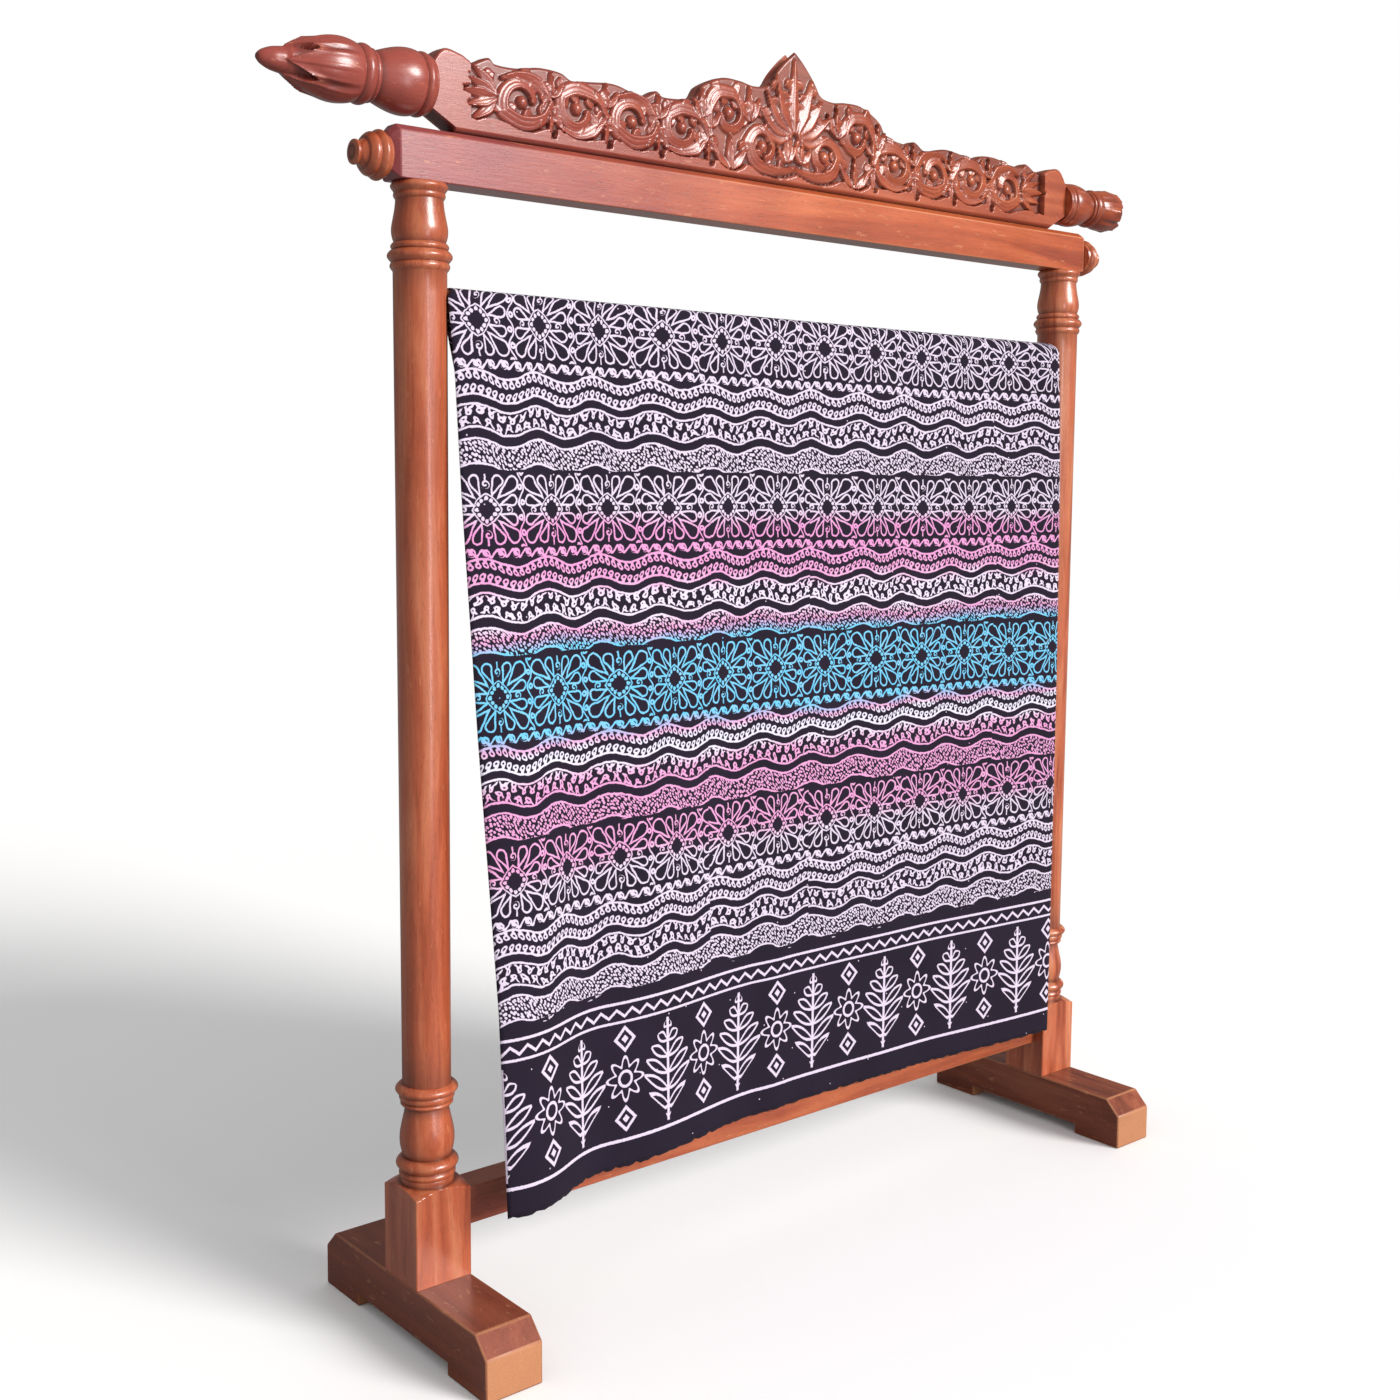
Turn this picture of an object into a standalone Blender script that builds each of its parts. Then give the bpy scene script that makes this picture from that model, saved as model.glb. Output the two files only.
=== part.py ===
# Batik cloth hung over the rail of a carved and turned wooden rack.
# Metres, +Z up. X runs along the rack, -Y is the front, the floor is Z = 0.
# Pieces are drawn about the middle of the rack, and one empty carries them all,
# set so that the origin is the bottom centre of the whole.

import math

import bmesh
import bpy
import numpy as np

for old in list(bpy.data.objects):
    bpy.data.objects.remove(old)

# Driving sizes of the rack
fit_gap = 0.0003
post_half_spacing = 0.5914
blank_side = 0.0772
foot_width = 0.0780
foot_reach = 0.1925
foot_height = 0.0754
foot_end_height = 0.0520
foot_end_slope = 0.0235
foot_pad = 0.0851
foot_notch = 0.0154
stretcher_bottom = 0.1300
stretcher_top = 0.1776
stretcher_thickness = 0.0422
beam_half_length = 0.6371
beam_bottom = 1.3958
beam_shoulder = 1.4500
beam_ridge = 1.4580
beam_thickness = 0.0420
beam_ridge_width = 0.0190
beam_end_chamfer = 0.0100
board_thickness = 0.0330
board_half_length = 0.5830
board_bottom = 1.4625
board_foot_width = 0.0180
knob_height = 1.4210
left_finial_tip = 0.7925
right_finial_tip = 0.7350
rail_radius = 0.0140
rail_height = 1.2625
rail_socket_depth = 0.0120
turning_steps = 20

# Driving sizes of the cloth
cloth_width = 1.1300
cloth_thickness = 0.0020
cloth_rail_gap = 0.0008
front_hem = 0.1570
back_hem = 0.2400
columns = 40
front_rows = 15
rail_rows = 9
back_rows = 13

rack_shift = (left_finial_tip - right_finial_tip) / 2

rack = bpy.data.objects.new("rack", None)
rack.location = (rack_shift, 0, 0)
bpy.context.scene.collection.objects.link(rack)


def wood(name, color, roughness):
    material = bpy.data.materials.new(name)
    material.use_nodes = True
    shader = material.node_tree.nodes["Principled BSDF"]
    shader.inputs["Base Color"].default_value = (*color, 1)
    shader.inputs["Roughness"].default_value = roughness
    shader.inputs["Metallic"].default_value = 0.0
    return material


polished = wood("varnished mahogany", (0.42, 0.13, 0.055), 0.32)
shaded = wood("stained mahogany", (0.25, 0.085, 0.05), 0.4)
dyed_cotton = wood("wax dyed cotton", (0.03, 0.022, 0.035), 0.85)


def add_piece(name, mesh, material, place=(0, 0, 0), turn=(0, 0, 0)):
    piece = bpy.data.objects.new(name, mesh)
    if not mesh.materials:
        mesh.materials.append(material)
    piece.location = place
    piece.rotation_euler = turn
    piece.parent = rack
    bpy.context.scene.collection.objects.link(piece)
    return piece


def add_cutter(name, mesh, place=(0, 0, 0), turn=(0, 0, 0)):
    cutter = bpy.data.objects.new(name, mesh)
    cutter.location = place
    cutter.rotation_euler = turn
    cutter.parent = rack
    cutter.hide_render = True
    cutter.display_type = "WIRE"
    bpy.context.scene.collection.objects.link(cutter)
    return cutter


def smooth(mesh, angle=35):
    mesh.shade_smooth()
    mesh.set_sharp_from_angle(angle=math.radians(angle))


def extruded(name, outline, depth, axis="Y"):
    """A flat outline in the two other axes, pushed out by depth about its plane."""
    form = bmesh.new()
    if axis == "Y":
        corners = [form.verts.new((a, -depth / 2, b)) for a, b in outline]
        push = (0, depth, 0)
    else:
        corners = [form.verts.new((-depth / 2, a, b)) for a, b in outline]
        push = (depth, 0, 0)
    face = form.faces.new(corners)
    grown = bmesh.ops.extrude_face_region(form, geom=[face])
    moved = [g for g in grown["geom"] if isinstance(g, bmesh.types.BMVert)]
    bmesh.ops.translate(form, verts=moved, vec=push)
    bmesh.ops.recalc_face_normals(form, faces=form.faces)
    mesh = bpy.data.meshes.new(name)
    form.to_mesh(mesh)
    form.free()
    return mesh


def box(name, size):
    form = bmesh.new()
    bmesh.ops.create_cube(form, size=1)
    bmesh.ops.scale(form, verts=form.verts, vec=size)
    mesh = bpy.data.meshes.new(name)
    form.to_mesh(mesh)
    form.free()
    return mesh


def rod(name, radius, length, steps):
    form = bmesh.new()
    bmesh.ops.create_cone(form, cap_ends=True, segments=steps,
                          radius1=radius, radius2=radius, depth=length)
    mesh = bpy.data.meshes.new(name)
    form.to_mesh(mesh)
    form.free()
    return mesh


def soften_edges(piece, width):
    bevel = piece.modifiers.new("eased edges", "BEVEL")
    bevel.width = width
    bevel.segments = 1
    bevel.limit_method = "ANGLE"
    bevel.angle_limit = math.radians(30)


def turned_outline(sections):
    """Radius along the axis: a straight taper plus a half sine swell, its crest moved by lean."""
    points = []
    for start, end, first, last, swell, lean, samples in sections:
        for part in np.linspace(0, 1, samples):
            bulge = swell * math.sin(math.pi * part ** lean)
            points.append((first + (last - first) * part + bulge, start + (end - start) * part))
    return points


def turned(name, points):
    """An outline of (radius, height), highest first, that the Screw modifier turns about Z."""
    high = points[0][1]
    low = points[-1][1]
    outline = [(0, high), *points, (0, low)]
    mesh = bpy.data.meshes.new(name)
    mesh.from_pydata([(r, 0, z) for r, z in outline], [(i, i + 1) for i in range(len(outline) - 1)], [])
    return mesh


def turn_on_lathe(piece, steps=turning_steps):
    lathe = piece.modifiers.new("lathe", "SCREW")
    lathe.steps = steps
    lathe.render_steps = steps
    lathe.use_merge_vertices = True
    lathe.merge_threshold = 0.00001
    lathe.use_smooth_shade = True


def cut(piece, cutter, operation):
    boolean = piece.modifiers.new(cutter.name, "BOOLEAN")
    boolean.operation = operation
    boolean.object = cutter
    boolean.solver = "EXACT"


# Feet: a bar with sloped ends, standing on a pad at each end
half_notch = foot_reach - foot_pad
foot_outline = [
    (-foot_reach, 0), (-half_notch, 0), (-half_notch, foot_notch),
    (half_notch, foot_notch), (half_notch, 0), (foot_reach, 0),
    (foot_reach, foot_end_height), (foot_reach - foot_end_slope, foot_height),
    (-foot_reach + foot_end_slope, foot_height), (-foot_reach, foot_end_height),
]
foot_mesh = extruded("foot", foot_outline, foot_width, axis="X")
for name, side in (("foot_left", -1), ("foot_right", 1)):
    foot = add_piece(name, foot_mesh, shaded, place=(side * post_half_spacing, 0, 0))

# Posts: turned from a square blank, so the block keeps the blank's faces and
# its shoulder is cut round on the lathe
post_base = foot_height + fit_gap
post_top = beam_bottom - fit_gap
# columns: start height, end height, first radius, last radius, swell, lean, samples
post_sections = [
    (post_top, 1.3865, 0.0312, 0.0312, 0.0026, 1.0, 5),
    (1.3838, 1.3775, 0.0298, 0.0292, 0.0010, 1.0, 3),
    (1.3765, 1.3270, 0.0280, 0.0303, 0.0035, 2.0, 7),
    (1.3262, 1.3185, 0.0318, 0.0322, 0.0022, 1.0, 4),
    (1.3175, 1.3050, 0.0345, 0.0345, 0.0038, 1.0, 5),
    (1.3040, 1.2945, 0.0335, 0.0325, 0.0022, 1.0, 4),
    (1.2935, 0.3188, 0.0317, 0.0297, 0.0000, 1.0, 2),
    (0.3180, 0.3060, 0.0330, 0.0345, 0.0045, 1.0, 5),
    (0.3052, 0.2975, 0.0330, 0.0320, 0.0013, 1.0, 3),
    (0.2968, 0.2905, 0.0300, 0.0295, 0.0025, 1.0, 3),
    (0.2895, 0.2275, 0.0265, 0.0296, 0.0050, 1.4, 8),
    (0.2265, 0.2115, 0.0330, 0.0335, 0.0050, 1.0, 5),
    (0.2105, 0.2020, 0.0325, 0.0325, 0.0022, 1.0, 4),
    (0.2012, 0.1945, 0.0328, 0.0330, 0.0000, 1.0, 2),
    (0.1942, 0.1845, 0.0386, 0.0600, 0.0000, 1.3, 4),
]
post_outline = turned_outline(post_sections) + [(0.0600, post_base)]
post_mesh = turned("post", post_outline)
blank_mesh = box("blank", (blank_side, blank_side, 3.0))
socket_mesh = rod("rail socket", rail_radius + fit_gap, 2 * (blank_side / 2 + rail_socket_depth), 24)
rail_half_length = post_half_spacing - 0.0317 + rail_socket_depth
for name, side in (("post_left", -1), ("post_right", 1)):
    post = add_piece(name, post_mesh, polished, place=(side * post_half_spacing, 0, 0))
    turn_on_lathe(post)
    blank = add_cutter(name + " blank", blank_mesh, place=(side * post_half_spacing, 0, 0))
    cut(post, blank, "INTERSECT")
    socket_middle = side * (rail_half_length + fit_gap - (blank_side / 2 + rail_socket_depth))
    socket = add_cutter(name + " socket", socket_mesh,
                        place=(socket_middle, 0, rail_height), turn=(0, math.pi / 2, 0))
    cut(post, socket, "DIFFERENCE")

# Rail that carries the cloth, let into both posts
rail_mesh = rod("rail", rail_radius, 2 * rail_half_length, 24)
smooth(rail_mesh)
add_piece("cloth_rail", rail_mesh, polished, place=(0, 0, rail_height), turn=(0, math.pi / 2, 0))

# Stretcher between the blocks
stretcher_length = 2 * (post_half_spacing - blank_side / 2 - fit_gap)
stretcher_height = stretcher_top - stretcher_bottom
stretcher_mesh = box("stretcher", (stretcher_length, stretcher_thickness, stretcher_height))
stretcher = add_piece("stretcher", stretcher_mesh, shaded,
                      place=(0, 0, (stretcher_top + stretcher_bottom) / 2))
soften_edges(stretcher, 0.0012)

# Top beam: upright faces, a sloped shoulder up to the board, and ends chamfered all round
half_beam = beam_thickness / 2
half_ridge = beam_ridge_width / 2
beam_section = [
    (-half_beam, beam_bottom), (half_beam, beam_bottom), (half_beam, beam_shoulder),
    (half_ridge, beam_ridge), (-half_ridge, beam_ridge), (-half_beam, beam_shoulder),
]
beam_mesh = extruded("beam", beam_section, 2 * beam_half_length, axis="X")
beam_form = bmesh.new()
beam_form.from_mesh(beam_mesh)
end_edges = [e for e in beam_form.edges
             if abs(e.verts[0].co.x - e.verts[1].co.x) < 0.001]
bmesh.ops.bevel(beam_form, geom=end_edges, offset=beam_end_chamfer, segments=1,
                affect="EDGES", clamp_overlap=True)
beam_form.to_mesh(beam_mesh)
beam_form.free()
add_piece("top_beam", beam_mesh, polished)

# Knobs on the ends of the beam, turned, from the beam outwards
# columns: start, end, first radius, last radius, swell, lean, samples
knob_sections = [
    (0.0000, 0.0030, 0.0240, 0.0250, 0.0000, 1.0, 2),
    (0.0032, 0.0150, 0.0255, 0.0250, 0.0036, 1.0, 6),
    (0.0155, 0.0265, 0.0245, 0.0200, 0.0025, 1.0, 5),
    (0.0272, 0.0350, 0.0170, 0.0125, 0.0000, 1.0, 3),
    (0.0352, 0.0415, 0.0135, 0.0130, 0.0012, 1.0, 4),
]
knob_outline = turned_outline(knob_sections)
knob_mesh = turned("knob", knob_outline[::-1])
knob_start = beam_half_length + fit_gap
for name, side in (("knob_left", -1), ("knob_right", 1)):
    knob = add_piece(name, knob_mesh, polished,
                     place=(side * knob_start, 0, knob_height), turn=(0, side * math.pi / 2, 0))
    turn_on_lathe(knob)

# Carved board: half of its outline, from the end inwards
# columns: distance from the middle, height
board_top_edge = [
    (0.5820, 1.5320), (0.5660, 1.5510), (0.5420, 1.5480), (0.5250, 1.5420),
    (0.4985, 1.5530), (0.4880, 1.5470), (0.4580, 1.5470), (0.4250, 1.5530),
    (0.3930, 1.5520), (0.3750, 1.5450), (0.3480, 1.5480), (0.3090, 1.5510),
    (0.2670, 1.5430), (0.2430, 1.5530), (0.2280, 1.5470), (0.1830, 1.5530),
    (0.1660, 1.5720), (0.1320, 1.5870), (0.1000, 1.5880), (0.0740, 1.5850),
    (0.0500, 1.5900), (0.0360, 1.6080), (0.0170, 1.6280), (0.0000, 1.6420),
]


def eased(points, samples):
    """A Catmull-Rom curve through the points."""
    padded = [points[0], *points, points[-1]]
    path = []
    for i in range(1, len(padded) - 2):
        before, start, end, after = (np.array(q) for q in padded[i - 1:i + 3])
        for t in np.arange(samples) / samples:
            path.append(0.5 * (2 * start + (end - before) * t
                               + (2 * before - 5 * start + 4 * end - after) * t ** 2
                               + (3 * start - before - 3 * end + after) * t ** 3))
    path.append(np.array(points[-1]))
    return [tuple(q) for q in path]


top_half = eased(board_top_edge, 3)
right_half = [(0.5500, board_bottom), (board_half_length, 1.4810), *top_half]
left_half = [(-x, z) for x, z in reversed(right_half[:-1])]
board_mesh = extruded("board", right_half + left_half, board_thickness)
board = add_piece("crest_board", board_mesh, polished)
# Foot of the board: chamfered under on both faces, standing on the beam's ridge
foot_bottom = beam_ridge + fit_gap
half_board = board_thickness / 2
half_foot = board_foot_width / 2
board_foot_section = [
    (-half_foot, foot_bottom), (half_foot, foot_bottom), (half_board, board_bottom),
    (half_board, board_bottom + 0.004), (-half_board, board_bottom + 0.004), (-half_board, board_bottom),
]
board_foot = add_cutter("board foot", extruded("board foot", board_foot_section, 1.100, axis="X"))
cut(board, board_foot, "UNION")

# Finials on the ends of the board: ring, bulb, collar and a closed bud
# columns: start, end, first radius, last radius, swell, lean, samples
finial_start = board_half_length + fit_gap
finial_sections = [
    (0.0000, 0.0030, 0.0340, 0.0345, 0.0000, 1.0, 2),
    (0.0032, 0.0145, 0.0345, 0.0345, 0.0026, 1.0, 5),
    (0.0150, 0.0710, 0.0352, 0.0272, 0.0055, 0.75, 8),
    (0.0716, 0.0775, 0.0290, 0.0295, 0.0012, 1.0, 3),
    (0.0780, 0.0925, 0.0310, 0.0310, 0.0030, 1.0, 5),
    (0.0935, 0.1780, 0.0318, 0.0180, 0.0105, 0.85, 9),
]
bud_tip = [(0.0205, 0.1830), (0.0190, 0.1850), (0.0150, 0.1960), (0.0090, 0.2060), (0.0040, 0.2110)]
broken_tip = [(0.0215, 0.1680), (0.0150, 0.1700)]
full_bud = turned_outline(finial_sections) + bud_tip
short_bud = [p for p in turned_outline(finial_sections) if p[1] < 0.1600] + broken_tip
# columns: name, side, outline, tip, height of its axis, girth
finials = [
    ("finial_left", -1, full_bud, left_finial_tip, 1.5080, 1.00),
    ("finial_right", 1, short_bud, right_finial_tip, 1.5020, 0.88),
]
for name, side, outline, tip, height, girth in finials:
    stretch = (tip - finial_start) / outline[-1][1]
    mesh = turned(name, [(girth * r, stretch * z) for r, z in outline[::-1]])
    finial = add_piece(name, mesh, polished,
                       place=(side * finial_start, 0, height), turn=(0, side * math.pi / 2, 0))
    turn_on_lathe(finial)

# Cloth: one sheet over the rail. Across runs from its left edge, 0 to cloth_width,
# and fall runs from 0 at the rail to 1 at the hem.
cloth_radius = rail_radius + cloth_rail_gap + cloth_thickness / 2
# columns: middle across, half width, depth at the rail, depth at the hem
front_folds = [
    (0.030, 0.170, 0.0127, 0.0720),
    (0.250, 0.240, 0.0000, 0.0310),
    (0.520, 0.050, 0.0000, 0.0030),
    (0.760, 0.110, 0.0000, 0.0030),
    (1.120, 0.360, 0.0000, 0.0220),
    (1.130, 0.120, 0.0135, 0.0010),
]
back_folds = [
    (0.150, 0.115, 0.0010, 0.0500),
    (0.375, 0.110, 0.0010, 0.0560),
    (0.590, 0.105, 0.0010, 0.0480),
    (0.810, 0.115, 0.0010, 0.0580),
    (1.030, 0.100, 0.0020, 0.0440),
]
# columns: fall, left edge, right edge, lean away from the rail
front_edges = [
    (0.00, -0.5701, 0.5600, 0.0000),
    (0.08, -0.5653, 0.5625, 0.0015),
    (0.21, -0.5631, 0.5635, 0.0040),
    (0.47, -0.5530, 0.5615, 0.0065),
    (0.77, -0.5370, 0.5560, 0.0080),
    (1.00, -0.5340, 0.5515, 0.0090),
]
back_edges = [
    (0.00, -0.5530, 0.5530, 0.0000),
    (0.09, -0.5320, 0.5515, 0.0010),
    (0.23, -0.5190, 0.5480, 0.0020),
    (0.51, -0.4940, 0.5420, 0.0040),
    (0.83, -0.4620, 0.5360, 0.0060),
    (1.00, -0.4500, 0.5320, 0.0070),
]


def fold_depth(across, fall, folds):
    """Each fold is a raised cosine across the cloth that grows evenly from the rail to the hem."""
    depth = np.zeros_like(across)
    for middle, half_width, at_rail, at_hem in folds:
        reach = np.clip(np.abs(across - middle) / half_width, 0, 1)
        depth += (at_rail + (at_hem - at_rail) * fall) * (1 + np.cos(math.pi * reach)) / 2
    return depth


def hanging_rows(falls, folds, edges, side):
    """Rows of one hanging side: the fold sets Y, and X runs along the row by its own length."""
    edges = np.array(edges)
    across = np.linspace(0, cloth_width, columns + 1)
    rows = []
    for fall in falls:
        left, right, lean = (np.interp(fall, edges[:, 0], edges[:, k]) for k in (1, 2, 3))
        depth = fold_depth(across, fall, folds)
        steps = np.diff(across)
        run = np.sqrt(np.maximum(steps ** 2 - np.diff(depth) ** 2, (0.3 * steps) ** 2))
        along = np.concatenate([[0], np.cumsum(run)])
        x = left + (right - left) * along / along[-1]
        rows.append((x, side * (cloth_radius + lean + depth)))
    return rows


def cloth_grid():
    front_falls = np.linspace(1, 0, front_rows + 1)
    back_falls = np.linspace(0, 1, back_rows + 1)
    grid = []
    for fall, (x, y) in zip(front_falls, hanging_rows(front_falls, front_folds, front_edges, -1)):
        z = rail_height + (front_hem - rail_height) * fall
        grid.append(np.stack([x, y, np.full_like(x, z)], axis=1))
    front_x, front_y = hanging_rows([0], front_folds, front_edges, -1)[0]
    back_x, back_y = hanging_rows([0], back_folds, back_edges, 1)[0]
    for angle in np.linspace(0, math.pi, rail_rows + 1)[1:-1]:
        share = math.sin(min(angle, math.pi / 2)) ** 2
        x = front_x + (back_x - front_x) * share
        y = math.cos(angle) * (front_y if angle < math.pi / 2 else -back_y)
        z = np.full_like(x, rail_height + cloth_radius * math.sin(angle))
        grid.append(np.stack([x, y, z], axis=1))
    for fall, (x, y) in zip(back_falls, hanging_rows(back_falls, back_folds, back_edges, 1)):
        z = rail_height + (back_hem - rail_height) * fall
        grid.append(np.stack([x, y, np.full_like(x, z)], axis=1))
    return np.array(grid)


grid = cloth_grid()
row_count = grid.shape[0]
stride = columns + 1
faces = [(r * stride + c, r * stride + c + 1, (r + 1) * stride + c + 1, (r + 1) * stride + c)
         for r in range(row_count - 1) for c in range(columns)]
cloth_mesh = bpy.data.meshes.new("cloth")
cloth_mesh.from_pydata(grid.reshape(-1, 3).tolist(), [], faces)
smooth(cloth_mesh, 60)
cloth = add_piece("cloth", cloth_mesh, dyed_cotton)
sheet = cloth.modifiers.new("sheet", "SOLIDIFY")
sheet.thickness = cloth_thickness
sheet.offset = 0
sheet.use_even_offset = True
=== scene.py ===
import math
import bpy
import numpy as np
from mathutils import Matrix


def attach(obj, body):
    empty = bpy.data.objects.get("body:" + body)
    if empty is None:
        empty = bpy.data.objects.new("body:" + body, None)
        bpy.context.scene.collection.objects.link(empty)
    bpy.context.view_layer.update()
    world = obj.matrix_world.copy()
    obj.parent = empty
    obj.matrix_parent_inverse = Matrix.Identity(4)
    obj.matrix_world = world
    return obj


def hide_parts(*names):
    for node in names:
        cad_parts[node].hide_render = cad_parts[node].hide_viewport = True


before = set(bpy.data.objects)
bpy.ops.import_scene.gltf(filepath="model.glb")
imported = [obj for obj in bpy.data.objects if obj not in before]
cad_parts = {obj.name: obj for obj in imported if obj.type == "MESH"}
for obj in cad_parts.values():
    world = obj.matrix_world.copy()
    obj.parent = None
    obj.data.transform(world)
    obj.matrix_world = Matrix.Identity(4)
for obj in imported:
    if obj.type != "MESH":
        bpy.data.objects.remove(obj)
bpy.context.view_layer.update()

scene = bpy.context.scene
rackShift = 0.02875  # the rack's middle lies this far right of the row's middle


def toLinear(hexText):
    # sRGB to linear: c / 12.92 up to 0.04045, else ((c + 0.055) / 1.055) ^ 2.4
    shares = np.array([int(hexText[i:i + 2], 16) for i in (1, 3, 5)]) / 255
    light = np.where(shares <= 0.04045, shares / 12.92, ((shares + 0.055) / 1.055) ** 2.4)
    return (*light.tolist(), 1.0)


def addNode(tree, kind, inputs=(), stops=(), **settings):
    # One shader node: its settings, each input as a value or as the socket it comes from,
    # and for a ramp its stops as (place, hex colour)
    node = tree.nodes.new("ShaderNode" + kind)
    for setting, value in settings.items():
        setattr(node, setting, value)
    for socket, value in dict(inputs).items():
        if isinstance(value, bpy.types.NodeSocket):
            tree.links.new(value, node.inputs[socket])
        else:
            node.inputs[socket].default_value = value
    for i, (place, colour) in enumerate(stops):
        element = node.color_ramp.elements[i] if i < 2 else node.color_ramp.elements.new(place)
        element.position = place
        element.color = toLinear(colour)
    return node


def emptyTree(owner):
    # The node tree of a new material or world, with nothing in it yet
    owner.use_nodes = True
    owner.node_tree.nodes.clear()
    return owner.node_tree


def followSteps(tree, known, steps):
    # Each step is a result's name, an operation and its terms, which are names or numbers
    for result, operation, *terms in steps:
        inputs = {i: known[term] if isinstance(term, str) else term for i, term in enumerate(terms)}
        known[result] = addNode(tree, "Math", inputs, operation=operation).outputs[0]


def shareSteps(name):
    # Held between 0 and 1
    return [(name, "MAXIMUM", name, 0.0), (name, "MINIMUM", name, 1.0)]


def awaySteps(name, value, line):
    # |value| - line, below zero within that half width of the place where value is zero
    return [(name, "ABSOLUTE", value), (name, "SUBTRACT", name, line)]


def distanceSteps(name, x, y):
    # sqrt(x^2 + y^2)
    return [(name + " x", "MULTIPLY", x, x), (name + " y", "MULTIPLY", y, y),
            (name, "ADD", name + " x", name + " y"), (name, "SQRT", name)]


def addLamp(name, kind, power, tint, place, facing):
    # One lamp; its spread or size is set on what this gives back
    light = bpy.data.lights.new(name, kind)
    light.energy = power
    light.color = toLinear(tint)[:3]
    lamp = bpy.data.objects.new(name, light)
    lamp.location = place
    lamp.rotation_euler = facing
    scene.collection.objects.link(lamp)
    return light


def gridMesh(name, points, around=False, capped=False):
    # Quads between neighbours of points[row, column]; around joins the last column to the first,
    # capped closes the first and the last row with a fan about their middle
    rows, columns = points.shape[:2]
    index = np.arange(rows * columns).reshape(rows, columns)
    right = np.roll(index, -1, axis=1) if around else index[:, 1:]
    left = index if around else index[:, :-1]
    faces = np.stack([left[:-1], right[:-1], right[1:], left[1:]], axis=-1).reshape(-1, 4).tolist()
    vertices = points.reshape(-1, 3)
    if capped:
        vertices = np.vstack([vertices, points[0].mean(axis=0), points[-1].mean(axis=0)])
        first, last = rows * columns, rows * columns + 1
        faces += np.stack([right[0], left[0], np.full_like(left[0], first)], axis=-1).tolist()
        faces += np.stack([left[-1], right[-1], np.full_like(left[-1], last)], axis=-1).tolist()
    mesh = bpy.data.meshes.new(name)
    mesh.from_pydata(vertices.tolist(), [], faces)
    mesh.update()
    return mesh


def faceOutward(mesh):
    # Six times the volume is the sum of a . (b x c) over the triangles; below zero the faces point in
    mesh.calc_loop_triangles()
    corners = np.empty(len(mesh.loop_triangles) * 3, dtype=np.int32)
    mesh.loop_triangles.foreach_get("vertices", corners)
    places = np.empty(len(mesh.vertices) * 3)
    mesh.vertices.foreach_get("co", places)
    a, b, c = places.reshape(-1, 3)[corners.reshape(-1, 3)].transpose(1, 0, 2)
    if (a * np.cross(b, c)).sum() < 0:
        mesh.flip_normals()


def addPiece(name, mesh, materials, nodes, crease=40):
    # The finished piece stands for its CAD node; edges sharper than crease degrees stay sharp
    faceOutward(mesh)
    mesh.shade_smooth()
    if crease:
        mesh.set_sharp_from_angle(angle=math.radians(crease))
    piece = bpy.data.objects.new(name, mesh)
    scene.collection.objects.link(piece)
    for material in materials:
        mesh.materials.append(material)
    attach(piece, "root")
    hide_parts(*nodes)
    return piece


def addShares(mesh, name, values):
    # One number from 0 to 1 on each vertex, for the materials
    layer = mesh.attributes.new(name, "FLOAT", "POINT")
    shares = np.zeros(len(mesh.vertices))
    shares[:len(values)] = values
    layer.data.foreach_set("value", shares)


def curveThrough(points, step):
    # Catmull-Rom: half of 2p1 + (p2 - p0)t + (2p0 - 5p1 + 4p2 - p3)t^2 + (3p1 - p0 - 3p2 + p3)t^3,
    # then sampled again at even steps of its length
    p = np.array([points[0], *points, points[-1]], dtype=float)
    t = np.linspace(0, 1, 12, endpoint=False)[None, :, None]
    a, b, c, d = (p[i:len(p) - 3 + i, None, :] for i in range(4))
    smooth = 0.5 * (2 * b + (c - a) * t + (2 * a - 5 * b + 4 * c - d) * t ** 2
                    + (3 * b - a - 3 * c + d) * t ** 3)
    smooth = np.vstack([smooth.reshape(-1, p.shape[1]), p[-1:]])
    run = np.concatenate([[0], np.cumsum(np.linalg.norm(np.diff(smooth, axis=0), axis=1))])
    even = np.linspace(0, run[-1], max(3, int(run[-1] / step)))
    return np.stack([np.interp(even, run, smooth[:, k]) for k in range(p.shape[1])], axis=1)


print("camera")
cameraView = {"place": (-1.58935, -1.7438, 1.0478), "yaw": 39.9075, "pitch": -5.2817, "roll": 0.3992,
              "lens": 43.12, "rise": -0.0429}
yaw, pitch, roll = (math.radians(cameraView[k]) for k in ("yaw", "pitch", "roll"))
ahead = np.array([math.sin(yaw) * math.cos(pitch), math.cos(yaw) * math.cos(pitch), math.sin(pitch)])
rightward = np.array([math.cos(yaw), -math.sin(yaw), 0])
upward = np.cross(rightward, ahead)
leanedRight = math.cos(roll) * rightward + math.sin(roll) * upward
leanedUp = -math.sin(roll) * rightward + math.cos(roll) * upward
cameraData = bpy.data.cameras.new("camera")
cameraData.lens = cameraView["lens"]
cameraData.sensor_width = 36
cameraData.sensor_fit = "HORIZONTAL"
cameraData.shift_y = cameraView["rise"]
camera = bpy.data.objects.new("camera", cameraData)
scene.collection.objects.link(camera)
turn = np.eye(4)
turn[:3, 0], turn[:3, 1], turn[:3, 2], turn[:3, 3] = leanedRight, leanedUp, -ahead, cameraView["place"]
camera.matrix_world = turn.T.tolist()
scene.camera = camera


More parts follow.
